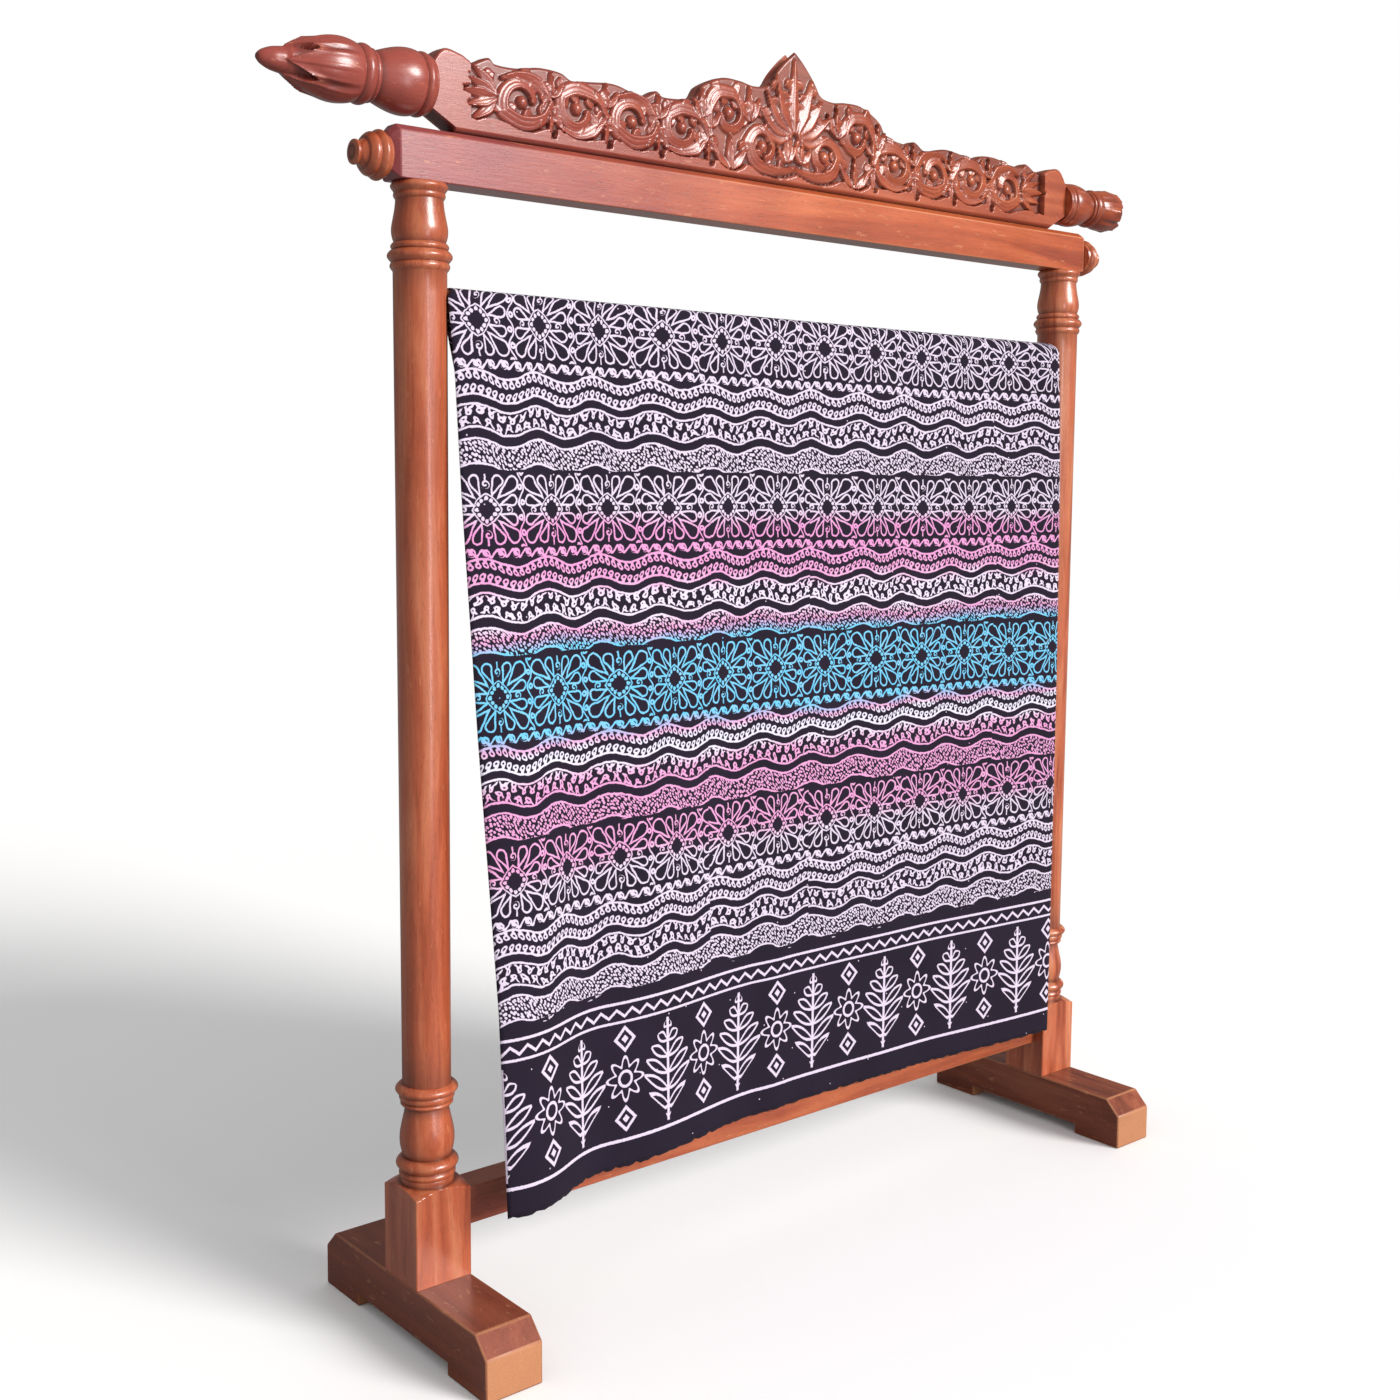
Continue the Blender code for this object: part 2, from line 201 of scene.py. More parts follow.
print("light and floor")
studio = {"sky": 0.54, "skySheen": 0.15, "sunFrom": (1.30, -3.20, 1.55), "sunPower": 3.7, "sunSpread": 24,
          "sunTint": "#fffdfb", "floorShown": "#ffffff", "floorBounce": "#8c8c8c",
          "boxPlace": (-0.35, -3.50, 0.95), "boxWidth": 0.55, "boxHeight": 1.8, "boxPower": 21,
          "boxTint": "#fff0f4"}
scene.view_settings.view_transform = "Standard"
sky = bpy.data.worlds.new("studio sky")
skyTree = emptyTree(sky)
seenBy = addNode(skyTree, "LightPath")
skyKnown = {"camera": seenBy.outputs["Is Camera Ray"], "glossy": seenBy.outputs["Is Glossy Ray"]}
followSteps(skyTree, skyKnown, [
    ("power", "MULTIPLY_ADD", "camera", 1.0 - studio["sky"], studio["sky"]),
    ("power", "MULTIPLY_ADD", "glossy", studio["skySheen"] - studio["sky"], "power"),
])
skyLight = addNode(skyTree, "Background", {"Color": (1.0, 1.0, 1.0, 1.0), "Strength": skyKnown["power"]})
addNode(skyTree, "OutputWorld", {"Surface": skyLight.outputs[0]})
scene.world = sky
sunX, sunY, sunZ = studio["sunFrom"]
sun = addLamp("low window light", "SUN", studio["sunPower"], studio["sunTint"], (0, 0, 0),
              (math.atan2(math.hypot(sunX, sunY), sunZ), 0, math.atan2(sunY, sunX) + math.pi / 2))
sun.angle = math.radians(studio["sunSpread"])
# a tall soft lamp in front draws the pale streak down each turning
box = addLamp("tall soft lamp", "AREA", studio["boxPower"], studio["boxTint"], studio["boxPlace"],
              (math.pi / 2, 0, 0))
box.shape = "RECTANGLE"
box.size = studio["boxWidth"]
box.size_y = studio["boxHeight"]
floorMesh = gridMesh("floor", np.array([[[-30, -30, 0], [30, -30, 0]], [[-30, 30, 0], [30, 30, 0]]], float))
floor = bpy.data.objects.new("floor", floorMesh)
scene.collection.objects.link(floor)
floorPaint = bpy.data.materials.new("matt white floor paint")
floorTree = emptyTree(floorPaint)
# white as it is seen, grey as it throws light up again, so that the undersides stay dark
floorSeen = addNode(floorTree, "LightPath").outputs["Is Camera Ray"]
floorColour = addNode(floorTree, "Mix", {0: floorSeen, 6: toLinear(studio["floorBounce"]),
                                         7: toLinear(studio["floorShown"])}, data_type="RGBA")
floorSkin = addNode(floorTree, "BsdfDiffuse", {"Color": floorColour.outputs[2]})
addNode(floorTree, "OutputMaterial", {"Surface": floorSkin.outputs[0]})
floorMesh.materials.append(floorPaint)


print("wood finishes")
# Mahogany: red-brown hardwood with long fine pores and a broad, soft figure. Grain widths in mm.
woodLooks = {
    # turned and varnished: a warm orange-brown with a glossy skin
    "turned": {"dark": "#88391f", "middle": "#ba6240", "light": "#d48a64", "hollowShadeTone": "#3c1006", "along": 2,
               "figure": 24, "streak": 2.4, "pore": 0.8, "rough": 0.33, "gloss": 0.60, "worn": "#c07a50",
               "blush": "#a04a2c", "endPale": 0.0, "blushEnds": (0.9, -2.5)},
    # sawn, planed and stained darker; it lies low and is scuffed
    "footGrainY": {"dark": "#642c19", "middle": "#8a442a", "light": "#9e5738", "hollowShadeTone": "#32100a", "along": 1,
                   "figure": 30, "streak": 2.6, "pore": 0.9, "rough": 0.40, "gloss": 0.30, "worn": "#c88c62",
                   "blush": "#7c3c2e", "endPale": 0.75, "blushEnds": (0.9, -2.5)},
    "footGrainX": {"dark": "#83391f", "middle": "#a95730", "light": "#bb6a3e", "hollowShadeTone": "#32100a", "along": 0,
                   "figure": 30, "streak": 2.6, "pore": 0.9, "rough": 0.36, "gloss": 0.35, "worn": "#c08456",
                   "blush": "#9c4a44", "endPale": 0.3, "blushEnds": (0.9, -2.5)},
    # planed beam with a broad figure, pinker towards its left end
    "beam": {"dark": "#8c3a22", "middle": "#b3552f", "light": "#c4683e", "hollowShadeTone": "#40130a", "along": 0,
             "figure": 40, "streak": 2.8, "pore": 0.9, "rough": 0.34, "gloss": 0.40, "worn": "#cf8a62",
             "blush": "#90464a", "endPale": 0.2, "blushEnds": (0.05, -0.60)},
    # hand carved: redder, with painted shade dark in its cuts
    "carved": {"dark": "#84351f", "middle": "#a04a2d", "light": "#b65e3c", "hollowShadeTone": "#4a130a", "along": 0,
               "figure": 28, "streak": 2.6, "pore": 0.8, "rough": 0.32, "gloss": 0.45, "worn": "#cc8a70",
               "blush": "#96453a", "endPale": 0.0, "blushEnds": (0.30, -0.60)},
}


def makeWood(name, look, worn=False):
    # Noise drawn out along the grain: broad figure, fine streaks and pores; painted shade darkens hollows
    material = bpy.data.materials.new(name)
    tree = emptyTree(material)
    place = addNode(tree, "TexCoord")
    drawn = [1.0, 1.0, 1.0]
    drawn[look["along"]] = 0.07  # features are 14 times as long as they are wide
    grain = addNode(tree, "Mapping", {"Vector": place.outputs["Object"], "Scale": drawn})
    figure = addNode(tree, "TexNoise", {"Vector": grain.outputs[0], "Scale": 1000 / look["figure"],
                                        "Detail": 3.0, "Roughness": 0.55, "Distortion": 0.9})
    streak = addNode(tree, "TexNoise", {"Vector": grain.outputs[0], "Scale": 1000 / look["streak"],
                                        "Detail": 2.0, "Roughness": 0.6})
    pore = addNode(tree, "TexNoise", {"Vector": grain.outputs[0], "Scale": 1000 / look["pore"],
                                      "Detail": 1.0})
    stain = addNode(tree, "TexNoise", {"Vector": place.outputs["Object"], "Scale": 7.0, "Detail": 4.0})
    rubbed = addNode(tree, "Mapping", {"Vector": place.outputs["Object"], "Scale": [
        0.25 if axis == look["along"] else 1.0 for axis in range(3)]})
    rub = addNode(tree, "TexNoise", {"Vector": rubbed.outputs[0], "Scale": 130.0, "Detail": 3.0,
                                     "Roughness": 0.7})
    # the share of painted shade on each vertex, high in hollows
    cut = addNode(tree, "Attribute", attribute_name="cut")
    base = addNode(tree, "ValToRGB", {0: figure.outputs[0]},
                   [(0.30, look["dark"]), (0.72, look["light"]), (0.50, look["middle"])]).outputs[0]
    known = {"streak": streak.outputs[0], "pore": pore.outputs[0], "stain": stain.outputs[0],
             "rub": rub.outputs[0], "cut": cut.outputs["Fac"]}
    followSteps(tree, known, [
        ("streakShade", "MULTIPLY_ADD", "streak", 0.34, 0.82),
        ("stainShade", "MULTIPLY_ADD", "stain", 0.36, 0.83),
        ("poreLine", "SUBTRACT", "pore", 0.58),
        ("poreLine", "MULTIPLY", "poreLine", 6.0),
        *shareSteps("poreLine"),
        ("poreShade", "MULTIPLY_ADD", "poreLine", -0.30, 1.0),
        ("shade", "MULTIPLY", "streakShade", "stainShade"),
        ("shade", "MULTIPLY", "shade", "poreShade"),
    ])
    if worn:
        base = addNode(tree, "Mix", {0: known["stain"], 6: toLinear(look["middle"]),
                                     7: toLinear(look["worn"])}, data_type="RGBA").outputs[2]
    known["x"] = addNode(tree, "SeparateXYZ", {0: place.outputs["Object"]}).outputs[0]
    facing = addNode(tree, "SeparateXYZ", {0: addNode(tree, "NewGeometry").outputs["Normal"]})
    known["facing"] = facing.outputs[look["along"]]
    first, last = look["blushEnds"]
    followSteps(tree, known, [
        ("blush", "MULTIPLY_ADD", "stain", 0.5 * abs(first - last), "x"),
        ("blush", "SUBTRACT", "blush", first + 0.25 * abs(first - last)),
        ("blush", "DIVIDE", "blush", last - first),
        *shareSteps("blush"),
        # scuffs: pale short rubbed marks along the grain
        ("scuff", "SUBTRACT", "rub", 0.63),
        ("scuff", "MULTIPLY", "scuff", 9.0),
        ("scuff", "MAXIMUM", "scuff", 0.0),
        ("scuff", "MINIMUM", "scuff", 0.40),
        # sawn ends are paler
        ("facing", "ABSOLUTE", "facing"),
        ("facing", "POWER", "facing", 16.0),
        ("facing", "MULTIPLY", "facing", look["endPale"]),
        ("scuff", "MAXIMUM", "scuff", "facing"),
    ])
    for share, tone in (("blush", "blush"), ("scuff", "worn")):
        base = addNode(tree, "Mix", {0: known[share], 6: base, 7: toLinear(look[tone])},
                       data_type="RGBA").outputs[2]
    shaded = addNode(tree, "VectorMath", {0: base, "Scale": known["shade"]}, operation="SCALE")
    # painted shade: hollows are mixed toward the finish's dark shade tone
    colour = addNode(tree, "Mix", {0: known["cut"], 6: shaded.outputs[0], 7: toLinear(look["hollowShadeTone"])},
                     data_type="RGBA")
    followSteps(tree, known, [
        ("rough", "MULTIPLY_ADD", "stain", 0.22, look["rough"] - 0.11 + (0.18 if worn else 0)),
        ("rough", "MULTIPLY_ADD", "cut", 0.25, "rough"),
        ("height", "MULTIPLY_ADD", "poreLine", -0.5, "streak"),
        ("height", "MULTIPLY_ADD", "stain", 1.5, "height"),
    ])
    bump = addNode(tree, "Bump", {"Height": known["height"], "Strength": 0.35, "Distance": 0.0004})
    skin = addNode(tree, "BsdfPrincipled", {
        "Base Color": colour.outputs[2], "Roughness": known["rough"], "Normal": bump.outputs[0],
        "IOR": 1.5, "Coat Weight": 0.1 if worn else look["gloss"], "Coat Roughness": 0.20, "Coat IOR": 1.5})
    addNode(tree, "OutputMaterial", {"Surface": skin.outputs[0]})
    return material


turnedWood = makeWood("varnished turned mahogany", woodLooks["turned"])
footWood = makeWood("stained planed mahogany", woodLooks["footGrainY"])
footEdge = makeWood("worn stained mahogany edge", woodLooks["footGrainY"], worn=True)
railWood = makeWood("varnished planed mahogany", woodLooks["footGrainX"])
railEdge = makeWood("worn varnished mahogany edge", woodLooks["footGrainX"], worn=True)
beamWood = makeWood("varnished mahogany beam", woodLooks["beam"])
beamEdge = makeWood("worn mahogany beam edge", woodLooks["beam"], worn=True)
carvedWood = makeWood("varnished carved mahogany", woodLooks["carved"])


def turnedOutline(sections, finer=2):
    # radius = first + (last - first) p + swell sin(pi p^lean), p from 0 to 1 along each section
    rows = []
    for start, end, first, last, swell, lean, samples in sections:
        p = np.linspace(0, 1, samples * finer)
        radius = first + (last - first) * p + swell * np.sin(np.pi * p ** lean)
        rows.append(np.column_stack([radius, start + (end - start) * p]))
    return np.vstack(rows)


print("posts")
post = {"halfSpacing": 0.5914, "blankSide": 0.0772, "base": 0.0757, "top": 1.3955, "cornerStep": 0.8}
# columns: start height, end height, first radius, last radius, swell, lean, samples
postSections = [
    (post["top"], 1.3865, 0.0312, 0.0312, 0.0026, 1.0, 5),
    (1.3838, 1.3775, 0.0298, 0.0292, 0.0010, 1.0, 3),
    (1.3765, 1.3270, 0.0280, 0.0303, 0.0035, 2.0, 7),
    (1.3262, 1.3185, 0.0318, 0.0322, 0.0022, 1.0, 4),
    (1.3175, 1.3050, 0.0345, 0.0345, 0.0038, 1.0, 5),
    (1.3040, 1.2945, 0.0335, 0.0325, 0.0022, 1.0, 4),
    (1.2935, 0.3188, 0.0317, 0.0297, 0.0000, 1.0, 20),
    (0.3180, 0.3060, 0.0330, 0.0345, 0.0045, 1.0, 5),
    (0.3052, 0.2975, 0.0330, 0.0320, 0.0013, 1.0, 3),
    (0.2968, 0.2905, 0.0300, 0.0295, 0.0025, 1.0, 3),
    (0.2895, 0.2275, 0.0265, 0.0296, 0.0050, 1.4, 8),
    (0.2265, 0.2115, 0.0330, 0.0335, 0.0050, 1.0, 5),
    (0.2105, 0.2020, 0.0325, 0.0325, 0.0022, 1.0, 4),
    (0.2012, 0.1945, 0.0328, 0.0330, 0.0000, 1.0, 2),
    (0.1942, 0.1845, 0.0386, 0.0600, 0.0000, 1.3, 10),
    (0.1840, post["base"], 0.0600, 0.0600, 0.0000, 1.0, 6),
]


def grooveShadeShare(radius, reach):
    # How far a radius lies below the mean of its neighbours within reach rows, 0 to 1 for 3 mm, as painted
    # shade in grooves
    mean = np.convolve(np.pad(radius, reach, mode="edge"), np.ones(2 * reach + 1) / (2 * reach + 1), "valid")
    return np.clip((mean - radius) / 0.003, 0, 1)


outline = turnedOutline(postSections)
half = post["blankSide"] / 2
faceAngles = np.radians(np.linspace(-45 + post["cornerStep"], 45 - post["cornerStep"], 18))
angles = np.concatenate([faceAngles + k * math.pi / 2 for k in range(4)])
flat = half / np.cos(np.tile(faceAngles, 4))  # distance from the axis to the blank's own face
for name, side in (("post_left", -1), ("post_right", 1)):
    radius = np.minimum(outline[:, 0][:, None], flat[None, :])
    points = np.stack([side * post["halfSpacing"] + rackShift + radius * np.cos(angles),
                       radius * np.sin(angles),
                       np.broadcast_to(outline[:, 1][:, None], radius.shape)], axis=-1)
    mesh = gridMesh(name + "_turned", points, around=True, capped=True)
    # painted shade in the turned grooves
    addShares(mesh, "cut", np.repeat(grooveShadeShare(outline[:, 0], 3) * 0.7, len(angles)))
    addPiece(name + "_turned", mesh, [turnedWood], [name])


print("rail")
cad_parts["cloth_rail"].material_slots[0].material = railWood


print("feet, stretcher and beam")


def addBar(name, sections, stations, materials, node, edge, sharp=30):
    # Closed outlines of one count of points, each set at its station along X, joined and closed; a bevel
    # rounds the edges over sharp degrees in the worn finish
    sections = np.array(sections, dtype=float)
    rings, count = sections.shape[:2]
    run = np.broadcast_to(np.reshape(stations, (rings, 1, 1)), (rings, count, 1))
    vertices = np.concatenate([run, sections], axis=-1).reshape(-1, 3).tolist()
    sides = [(r + i, r + (i + 1) % count, r + count + (i + 1) % count, r + count + i)
             for r in range(0, (rings - 1) * count, count) for i in range(count)]
    ends = [tuple(range(count - 1, -1, -1)), tuple(range((rings - 1) * count, rings * count))]
    mesh = bpy.data.meshes.new(name)
    mesh.from_pydata(vertices, [], sides + ends)
    piece = addPiece(name, mesh, materials, [node], crease=sharp)
    bevel = piece.modifiers.new("worn edge", "BEVEL")
    bevel.width = edge
    bevel.segments = 2
    bevel.limit_method = "ANGLE"
    bevel.angle_limit = math.radians(sharp)
    bevel.material = 1


foot = {"width": 0.0780, "reach": 0.1925, "height": 0.0754, "endHeight": 0.0520, "endSlope": 0.0235,
        "pad": 0.0851, "notch": 0.0154, "edge": 0.0022}
notchReach = foot["reach"] - foot["pad"]
footOutline = [
    (-foot["reach"], 0), (-notchReach, 0), (-notchReach, foot["notch"]), (notchReach, foot["notch"]),
    (notchReach, 0), (foot["reach"], 0), (foot["reach"], foot["endHeight"]),
    (foot["reach"] - foot["endSlope"], foot["height"]), (-foot["reach"] + foot["endSlope"], foot["height"]),
    (-foot["reach"], foot["endHeight"]),
]
for name, side in (("foot_left", -1), ("foot_right", 1)):
    middle = side * post["halfSpacing"] + rackShift
    addBar(name + "_bar", [footOutline] * 2, (middle - foot["width"] / 2, middle + foot["width"] / 2),
           [footWood, footEdge], name, foot["edge"])

stretcher = {"bottom": 0.1300, "top": 0.1776, "thickness": 0.0422, "edge": 0.0014}
stretcherEnd = post["halfSpacing"] - post["blankSide"] / 2 - 0.0003  # a butt joint with that gap
stretcherOutline = [(y * stretcher["thickness"] / 2, stretcher[z])
                    for y, z in ((-1, "bottom"), (1, "bottom"), (1, "top"), (-1, "top"))]
addBar("stretcher_bar", [stretcherOutline] * 2, (rackShift - stretcherEnd, rackShift + stretcherEnd),
       [railWood, railEdge], "stretcher", stretcher["edge"])

beam = {"halfLength": 0.6371, "bottom": 1.3958, "shoulder": 1.4500, "ridge": 1.4580, "thickness": 0.0420,
        "ridgeWidth": 0.0190, "endChamfer": 0.0100, "edge": 0.0014}
halfThick, halfRidge = beam["thickness"] / 2, beam["ridgeWidth"] / 2
fullSection = np.array([
    (-halfThick, beam["bottom"]), (halfThick, beam["bottom"]), (halfThick, beam["shoulder"]),
    (halfRidge, beam["ridge"]), (-halfRidge, beam["ridge"]), (-halfThick, beam["shoulder"])])
drawnIn = np.array([(1, 1), (-1, 1), (-1, -0.75), (-0.35, -1), (0.35, -1), (1, -0.75)])
smallSection = fullSection + beam["endChamfer"] * drawnIn
stations = (rackShift + beam["halfLength"] * np.array([-1, -1, 1, 1])
            + beam["endChamfer"] * np.array([0, 1, -1, 0]))
addBar("top_beam_bar", [smallSection, fullSection, fullSection, smallSection], stations,
       [beamWood, beamEdge], "top_beam", beam["edge"], sharp=20)


print("knobs and finials")


def turnedAlongX(name, outline, side, start, height, columns, petals=None):
    # A lathe outline of (radius, distance outwards) turned about X; petals reshapes the radii by angle
    angles = np.linspace(0, 2 * math.pi, columns, endpoint=False)
    radius = np.repeat(outline[:, 0][:, None], columns, axis=1)
    if petals:
        radius = petals(radius, outline[:, 1][:, None], angles[None, :])
    along = start + side * outline[:, 1][:, None] * np.ones(columns)
    points = np.stack([along + rackShift, radius * np.cos(angles), height + radius * np.sin(angles)], axis=-1)
    return gridMesh(name, points, around=True, capped=True), radius


# columns: start, end, first radius, last radius, swell, lean, samples
knobSections = [
    (0.0000, 0.0030, 0.0240, 0.0250, 0.0000, 1.0, 2),
    (0.0032, 0.0150, 0.0255, 0.0250, 0.0036, 1.0, 6),
    (0.0155, 0.0265, 0.0245, 0.0200, 0.0025, 1.0, 5),
    (0.0272, 0.0350, 0.0170, 0.0125, 0.0000, 1.0, 3),
    (0.0352, 0.0415, 0.0135, 0.0130, 0.0012, 1.0, 4),
]
knobOutline = turnedOutline(knobSections, 3)
knobOutline[-3:, 0] *= (0.93, 0.80, 0.55)  # the end is rounded over
knob = {"start": 0.6374, "height": 1.4210, "columns": 64}
for name, side in (("knob_left", -1), ("knob_right", 1)):
    mesh = turnedAlongX(name + "_turned", knobOutline, side, side * knob["start"], knob["height"],
                        knob["columns"])[0]
    # painted shade in the knob's grooves
    addShares(mesh, "cut", np.repeat(grooveShadeShare(knobOutline[:, 0], 3), knob["columns"]))
    addPiece(name + "_turned", mesh, [turnedWood], [name])

finialStart = 0.5833
# columns: start, end, first radius, last radius, swell, lean, samples
finialSections = [
    (0.0000, 0.0030, 0.0340, 0.0345, 0.0000, 1.0, 2),
    (0.0032, 0.0145, 0.0345, 0.0345, 0.0026, 1.0, 5),
    (0.0150, 0.0710, 0.0352, 0.0272, 0.0055, 0.75, 8),
    (0.0716, 0.0775, 0.0290, 0.0295, 0.0012, 1.0, 3),
    (0.0780, 0.0925, 0.0310, 0.0310, 0.0030, 1.0, 5),
    (0.0935, 0.1800, 0.0318, 0.0150, 0.0105, 0.85, 40),
]
budTip = np.array([(0.0146, 0.1815), (0.0140, 0.1860), (0.0120, 0.1960), (0.0076, 0.2060), (0.0030, 0.2110)])
bud = {"petals": 5, "start": 0.0935, "deepenOver": 0.075, "end": 0.148, "point": 0.034, "groove": 0.17,
       "rib": 0.050, "ribAt": 0.42, "ribWidth": 0.12, "edgeWidth": 0.02, "flare": 0.16, "flareOver": 0.024,
       "brokenEnd": 0.146, "coneStart": 0.150, "coneGirth": 0.0212, "coneSlope": 0.16, "columns": 180}


def budPetals(length, girth, broken):
    # Petals with sharp valleys between, raised edges and a rib along each; they end in flared
    # points, past which an inner cone shows. A broken bud has lost its points in a ragged line.
    def shape(radius, distance, angle):
        wave = np.abs(np.cos(bud["petals"] / 2 * (angle + 0.5)))
        far = distance / length
        share = np.clip((far - bud["start"]) / bud["deepenOver"], 0, 1)
        ridge = (np.exp(-((wave - bud["ribAt"]) / bud["ribWidth"]) ** 2)
                 + np.exp(-((wave - 1) / bud["edgeWidth"]) ** 2))
        petal = radius * (1 - share ** 0.7 * (bud["groove"] * (1 - wave) ** 2 - bud["rib"] * ridge))
        end = bud["end"] + bud["point"] * wave ** 1.3
        if broken:
            end = bud["brokenEnd"] + 0.010 * np.sin(3 * angle + 1.0) + 0.005 * np.sin(11 * angle)
        flared = np.clip((far - end + bud["flareOver"]) / bud["flareOver"], 0, 1) ** 2
        petal = petal * (1 + bud["flare"] * flared)
        cone = girth * np.minimum(bud["coneGirth"] - bud["coneSlope"] * (far - bud["coneStart"]),
                                  radius / girth)
        covered = np.clip((end - far) / 0.0012, 0, 1)
        return cone + (petal - cone) * covered
    return shape


turned = turnedOutline(finialSections, 3)
full = np.vstack([turned, curveThrough(budTip, 0.002)])
short = np.vstack([turned[turned[:, 1] < 0.1640], [(0.0150, 0.1650), (0.0080, 0.1662)]])
# columns: name, side, outline, distance of the tip from the middle, height, girth
for name, side, outline, tip, height, girth in (("finial_left", -1, full, 0.7925, 1.5080, 1.00),
                                                ("finial_right", 1, short, 0.7350, 1.5020, 0.88)):
    length = (tip - finialStart) / outline[-1, 1]
    shaped = outline * (girth, length)
    petals = budPetals(length, girth, side > 0)
    mesh, radius = turnedAlongX(name + "_carved", shaped, side, side * finialStart, height,
                                bud["columns"], petals)
    # painted shade in the valleys between the petals and in the turned grooves
    groove = np.clip((shaped[:, 0][:, None] - radius) / 0.0035, 0, 1) * 0.6
    addShares(mesh, "cut", np.maximum(groove, grooveShadeShare(shaped[:, 0], 4)[:, None]).ravel())
    addPiece(name + "_carved", mesh, [carvedWood], [name], crease=60)


print("carved board")
board = {"thickness": 0.0330, "halfLength": 0.5830, "bottom": 1.4625, "cornerBottom": 1.4810,
         "footBottom": 1.4583, "footWidth": 0.0180, "footHalfLength": 0.5500, "ground": 0.0105,
         "rise": 0.0075, "columns": 776, "rows": 84, "backRows": 16}
# half of its top edge from the end inwards: distance from the middle, height
boardTopEdge = [
    (0.5820, 1.5320), (0.5660, 1.5510), (0.5420, 1.5480), (0.5250, 1.5420),
    (0.4985, 1.5530), (0.4880, 1.5470), (0.4580, 1.5470), (0.4250, 1.5530),
    (0.3930, 1.5520), (0.3750, 1.5450), (0.3480, 1.5480), (0.3090, 1.5510),
    (0.2670, 1.5430), (0.2430, 1.5530), (0.2280, 1.5470), (0.1830, 1.5530),
    (0.1660, 1.5720), (0.1320, 1.5870), (0.1000, 1.5880), (0.0740, 1.5850),
    (0.0500, 1.5900), (0.0360, 1.6080), (0.0170, 1.6280), (0.0000, 1.6420),
]
# The carving is a foliage scroll of the usual kind, set out by rule for one half, in mm: distance from the
# middle and height above zero
scroll = {"zero": 1460, "bends": 4, "first": 197, "pitch": 84, "middle": 49, "swing": 27, "eyeLift": 2,
          "turns": 1.1, "lobePitch": 15, "fanRoot": 10, "fanReach": 28, "fanSpread": 17,
          "endFrom": 488, "endReach": 44}
# palmette in the crown: lean of each leaf in degrees, and its length
palmette = [(90, 102), (69, 84), (48, 72), (27, 68), (6, 58)]


def fanLeaves(x, y, reach, spread, widths, count=3):
    # Leaves from one root, leaning from -1 to 1: at share t they stand lean spread t^0.7 aside, and the outer
    # ones reach less far
    for lean in np.linspace(-1, 1, count):
        far = reach * (1 - 0.35 * abs(lean))
        yield [(x + lean * spread * t ** 0.7, y + far * t ** 1.2) for t in (0.05, 0.5, 1.0)], *widths


def foliageScroll():
    # A stem swings by turns above and below the middle height. Each bend winds into a curl about its eye, a
    # long leaf lies along its open side, and small fans fill the gaps between bends
    leaves, curls = [], []
    for bend in range(scroll["bends"]):
        side = 1 if bend % 2 == 0 else -1
        x, y = scroll["first"] + scroll["pitch"] * bend, scroll["middle"]
        half, swing = scroll["pitch"] / 2, scroll["swing"] * side
        tail = [(x - half, y), (x - 0.72 * half, y + 0.7 * swing), (x, y + swing),
                (x + 0.62 * half, y + 0.62 * swing)]
        curls.append((tail, (x + 2, y + scroll["eyeLift"] * side), -scroll["turns"] * side, 9, 5, 8))
        leaves.append(([(x - half, y), (x - 0.5 * half, y - 0.8 * swing), (x + 0.1 * half, y - 1.08 * swing),
                        (x + 0.7 * half, y - 0.85 * swing)], 2, 7, 2))
        for up in (-1, 1):
            leaves.extend(fanLeaves(x - half, y + scroll["fanRoot"] * up, scroll["fanReach"] * up,
                                    scroll["fanSpread"], (2, 4, 2)))
    # end field: a fan lying on its side
    for points, *widths in fanLeaves(scroll["middle"], scroll["endFrom"], scroll["endReach"], 30,
                                     (3, 6, 2), 5):
        leaves.append(([(x, y) for y, x in points], *widths))
    # crown: leaves from one root, bowed by their lean, over a curl at the foot and one on the shoulder
    root = np.array([2, 66])
    for degrees, length in palmette:
        out = np.array([math.cos(math.radians(degrees)), math.sin(math.radians(degrees))])
        bow = 0.12 * length * out[0] * np.array([out[1], -out[0]])
        leaves.append(([root + out * 8, root + out * length * 0.55 + bow, root + out * length], 3, 8, 2))
    curls.append(([(4, 22), (36, 15), (70, 22), (84, 46)], (58, 44), 1.35, 9, 5, 9))
    curls.append(([(155, 49), (158, 80), (142, 106), (116, 109)], (120, 82), 1.35, 9, 5, 9))
    for x, y, reach, spread, widths in ((118, 12, 42, 30, (3, 6, 2)), (82, 76, 44, 18, (2, 5, 2)),
                                        (166, 70, 34, 12, (2, 5, 2)), (16, 32, 30, 14, (2, 5, 2))):
        leaves.extend(fanLeaves(x, y, reach, spread, widths))
    return leaves, curls


leaves, curls = foliageScroll()


def sweptRelief(place, path, halfWidth, rise, groove):
    # With s the signed distance to the path in half widths, positive on the outer side of its bend, the
    # height is rise (0.68 + 0.32 s) with steep flanks, less two fine grooves along the stroke
    reach = halfWidth.max()
    near = np.flatnonzero((place > path.min(axis=0) - reach).all(axis=1)
                          & (place < path.max(axis=0) + reach).all(axis=1))
    height = np.zeros(len(place))
    if len(near):
        offset = place[near][:, None, :] - path[None, :, :]
        gap = np.linalg.norm(offset, axis=2)
        nearest = gap.argmin(axis=1)
        offset = offset[np.arange(len(near)), nearest]
        heading = np.gradient(path, axis=0)
        bend = 1 if heading[0, 0] * heading[-1, 1] > heading[0, 1] * heading[-1, 0] else -1
        heading = heading[nearest]
        side = -bend * np.sign(heading[:, 0] * offset[:, 1] - heading[:, 1] * offset[:, 0])
        part = gap.min(axis=1) / halfWidth[nearest]
        flank = np.sqrt(np.clip((1 - part) / 0.30, 0, 1))
        cuts = sum(np.clip(1 - np.abs(side * part - line) / 0.13, 0, 1) for line in (0.30, -0.30))
        height[near] = rise * flank * (0.68 + 0.32 * side * part - groove * cuts)
    return height


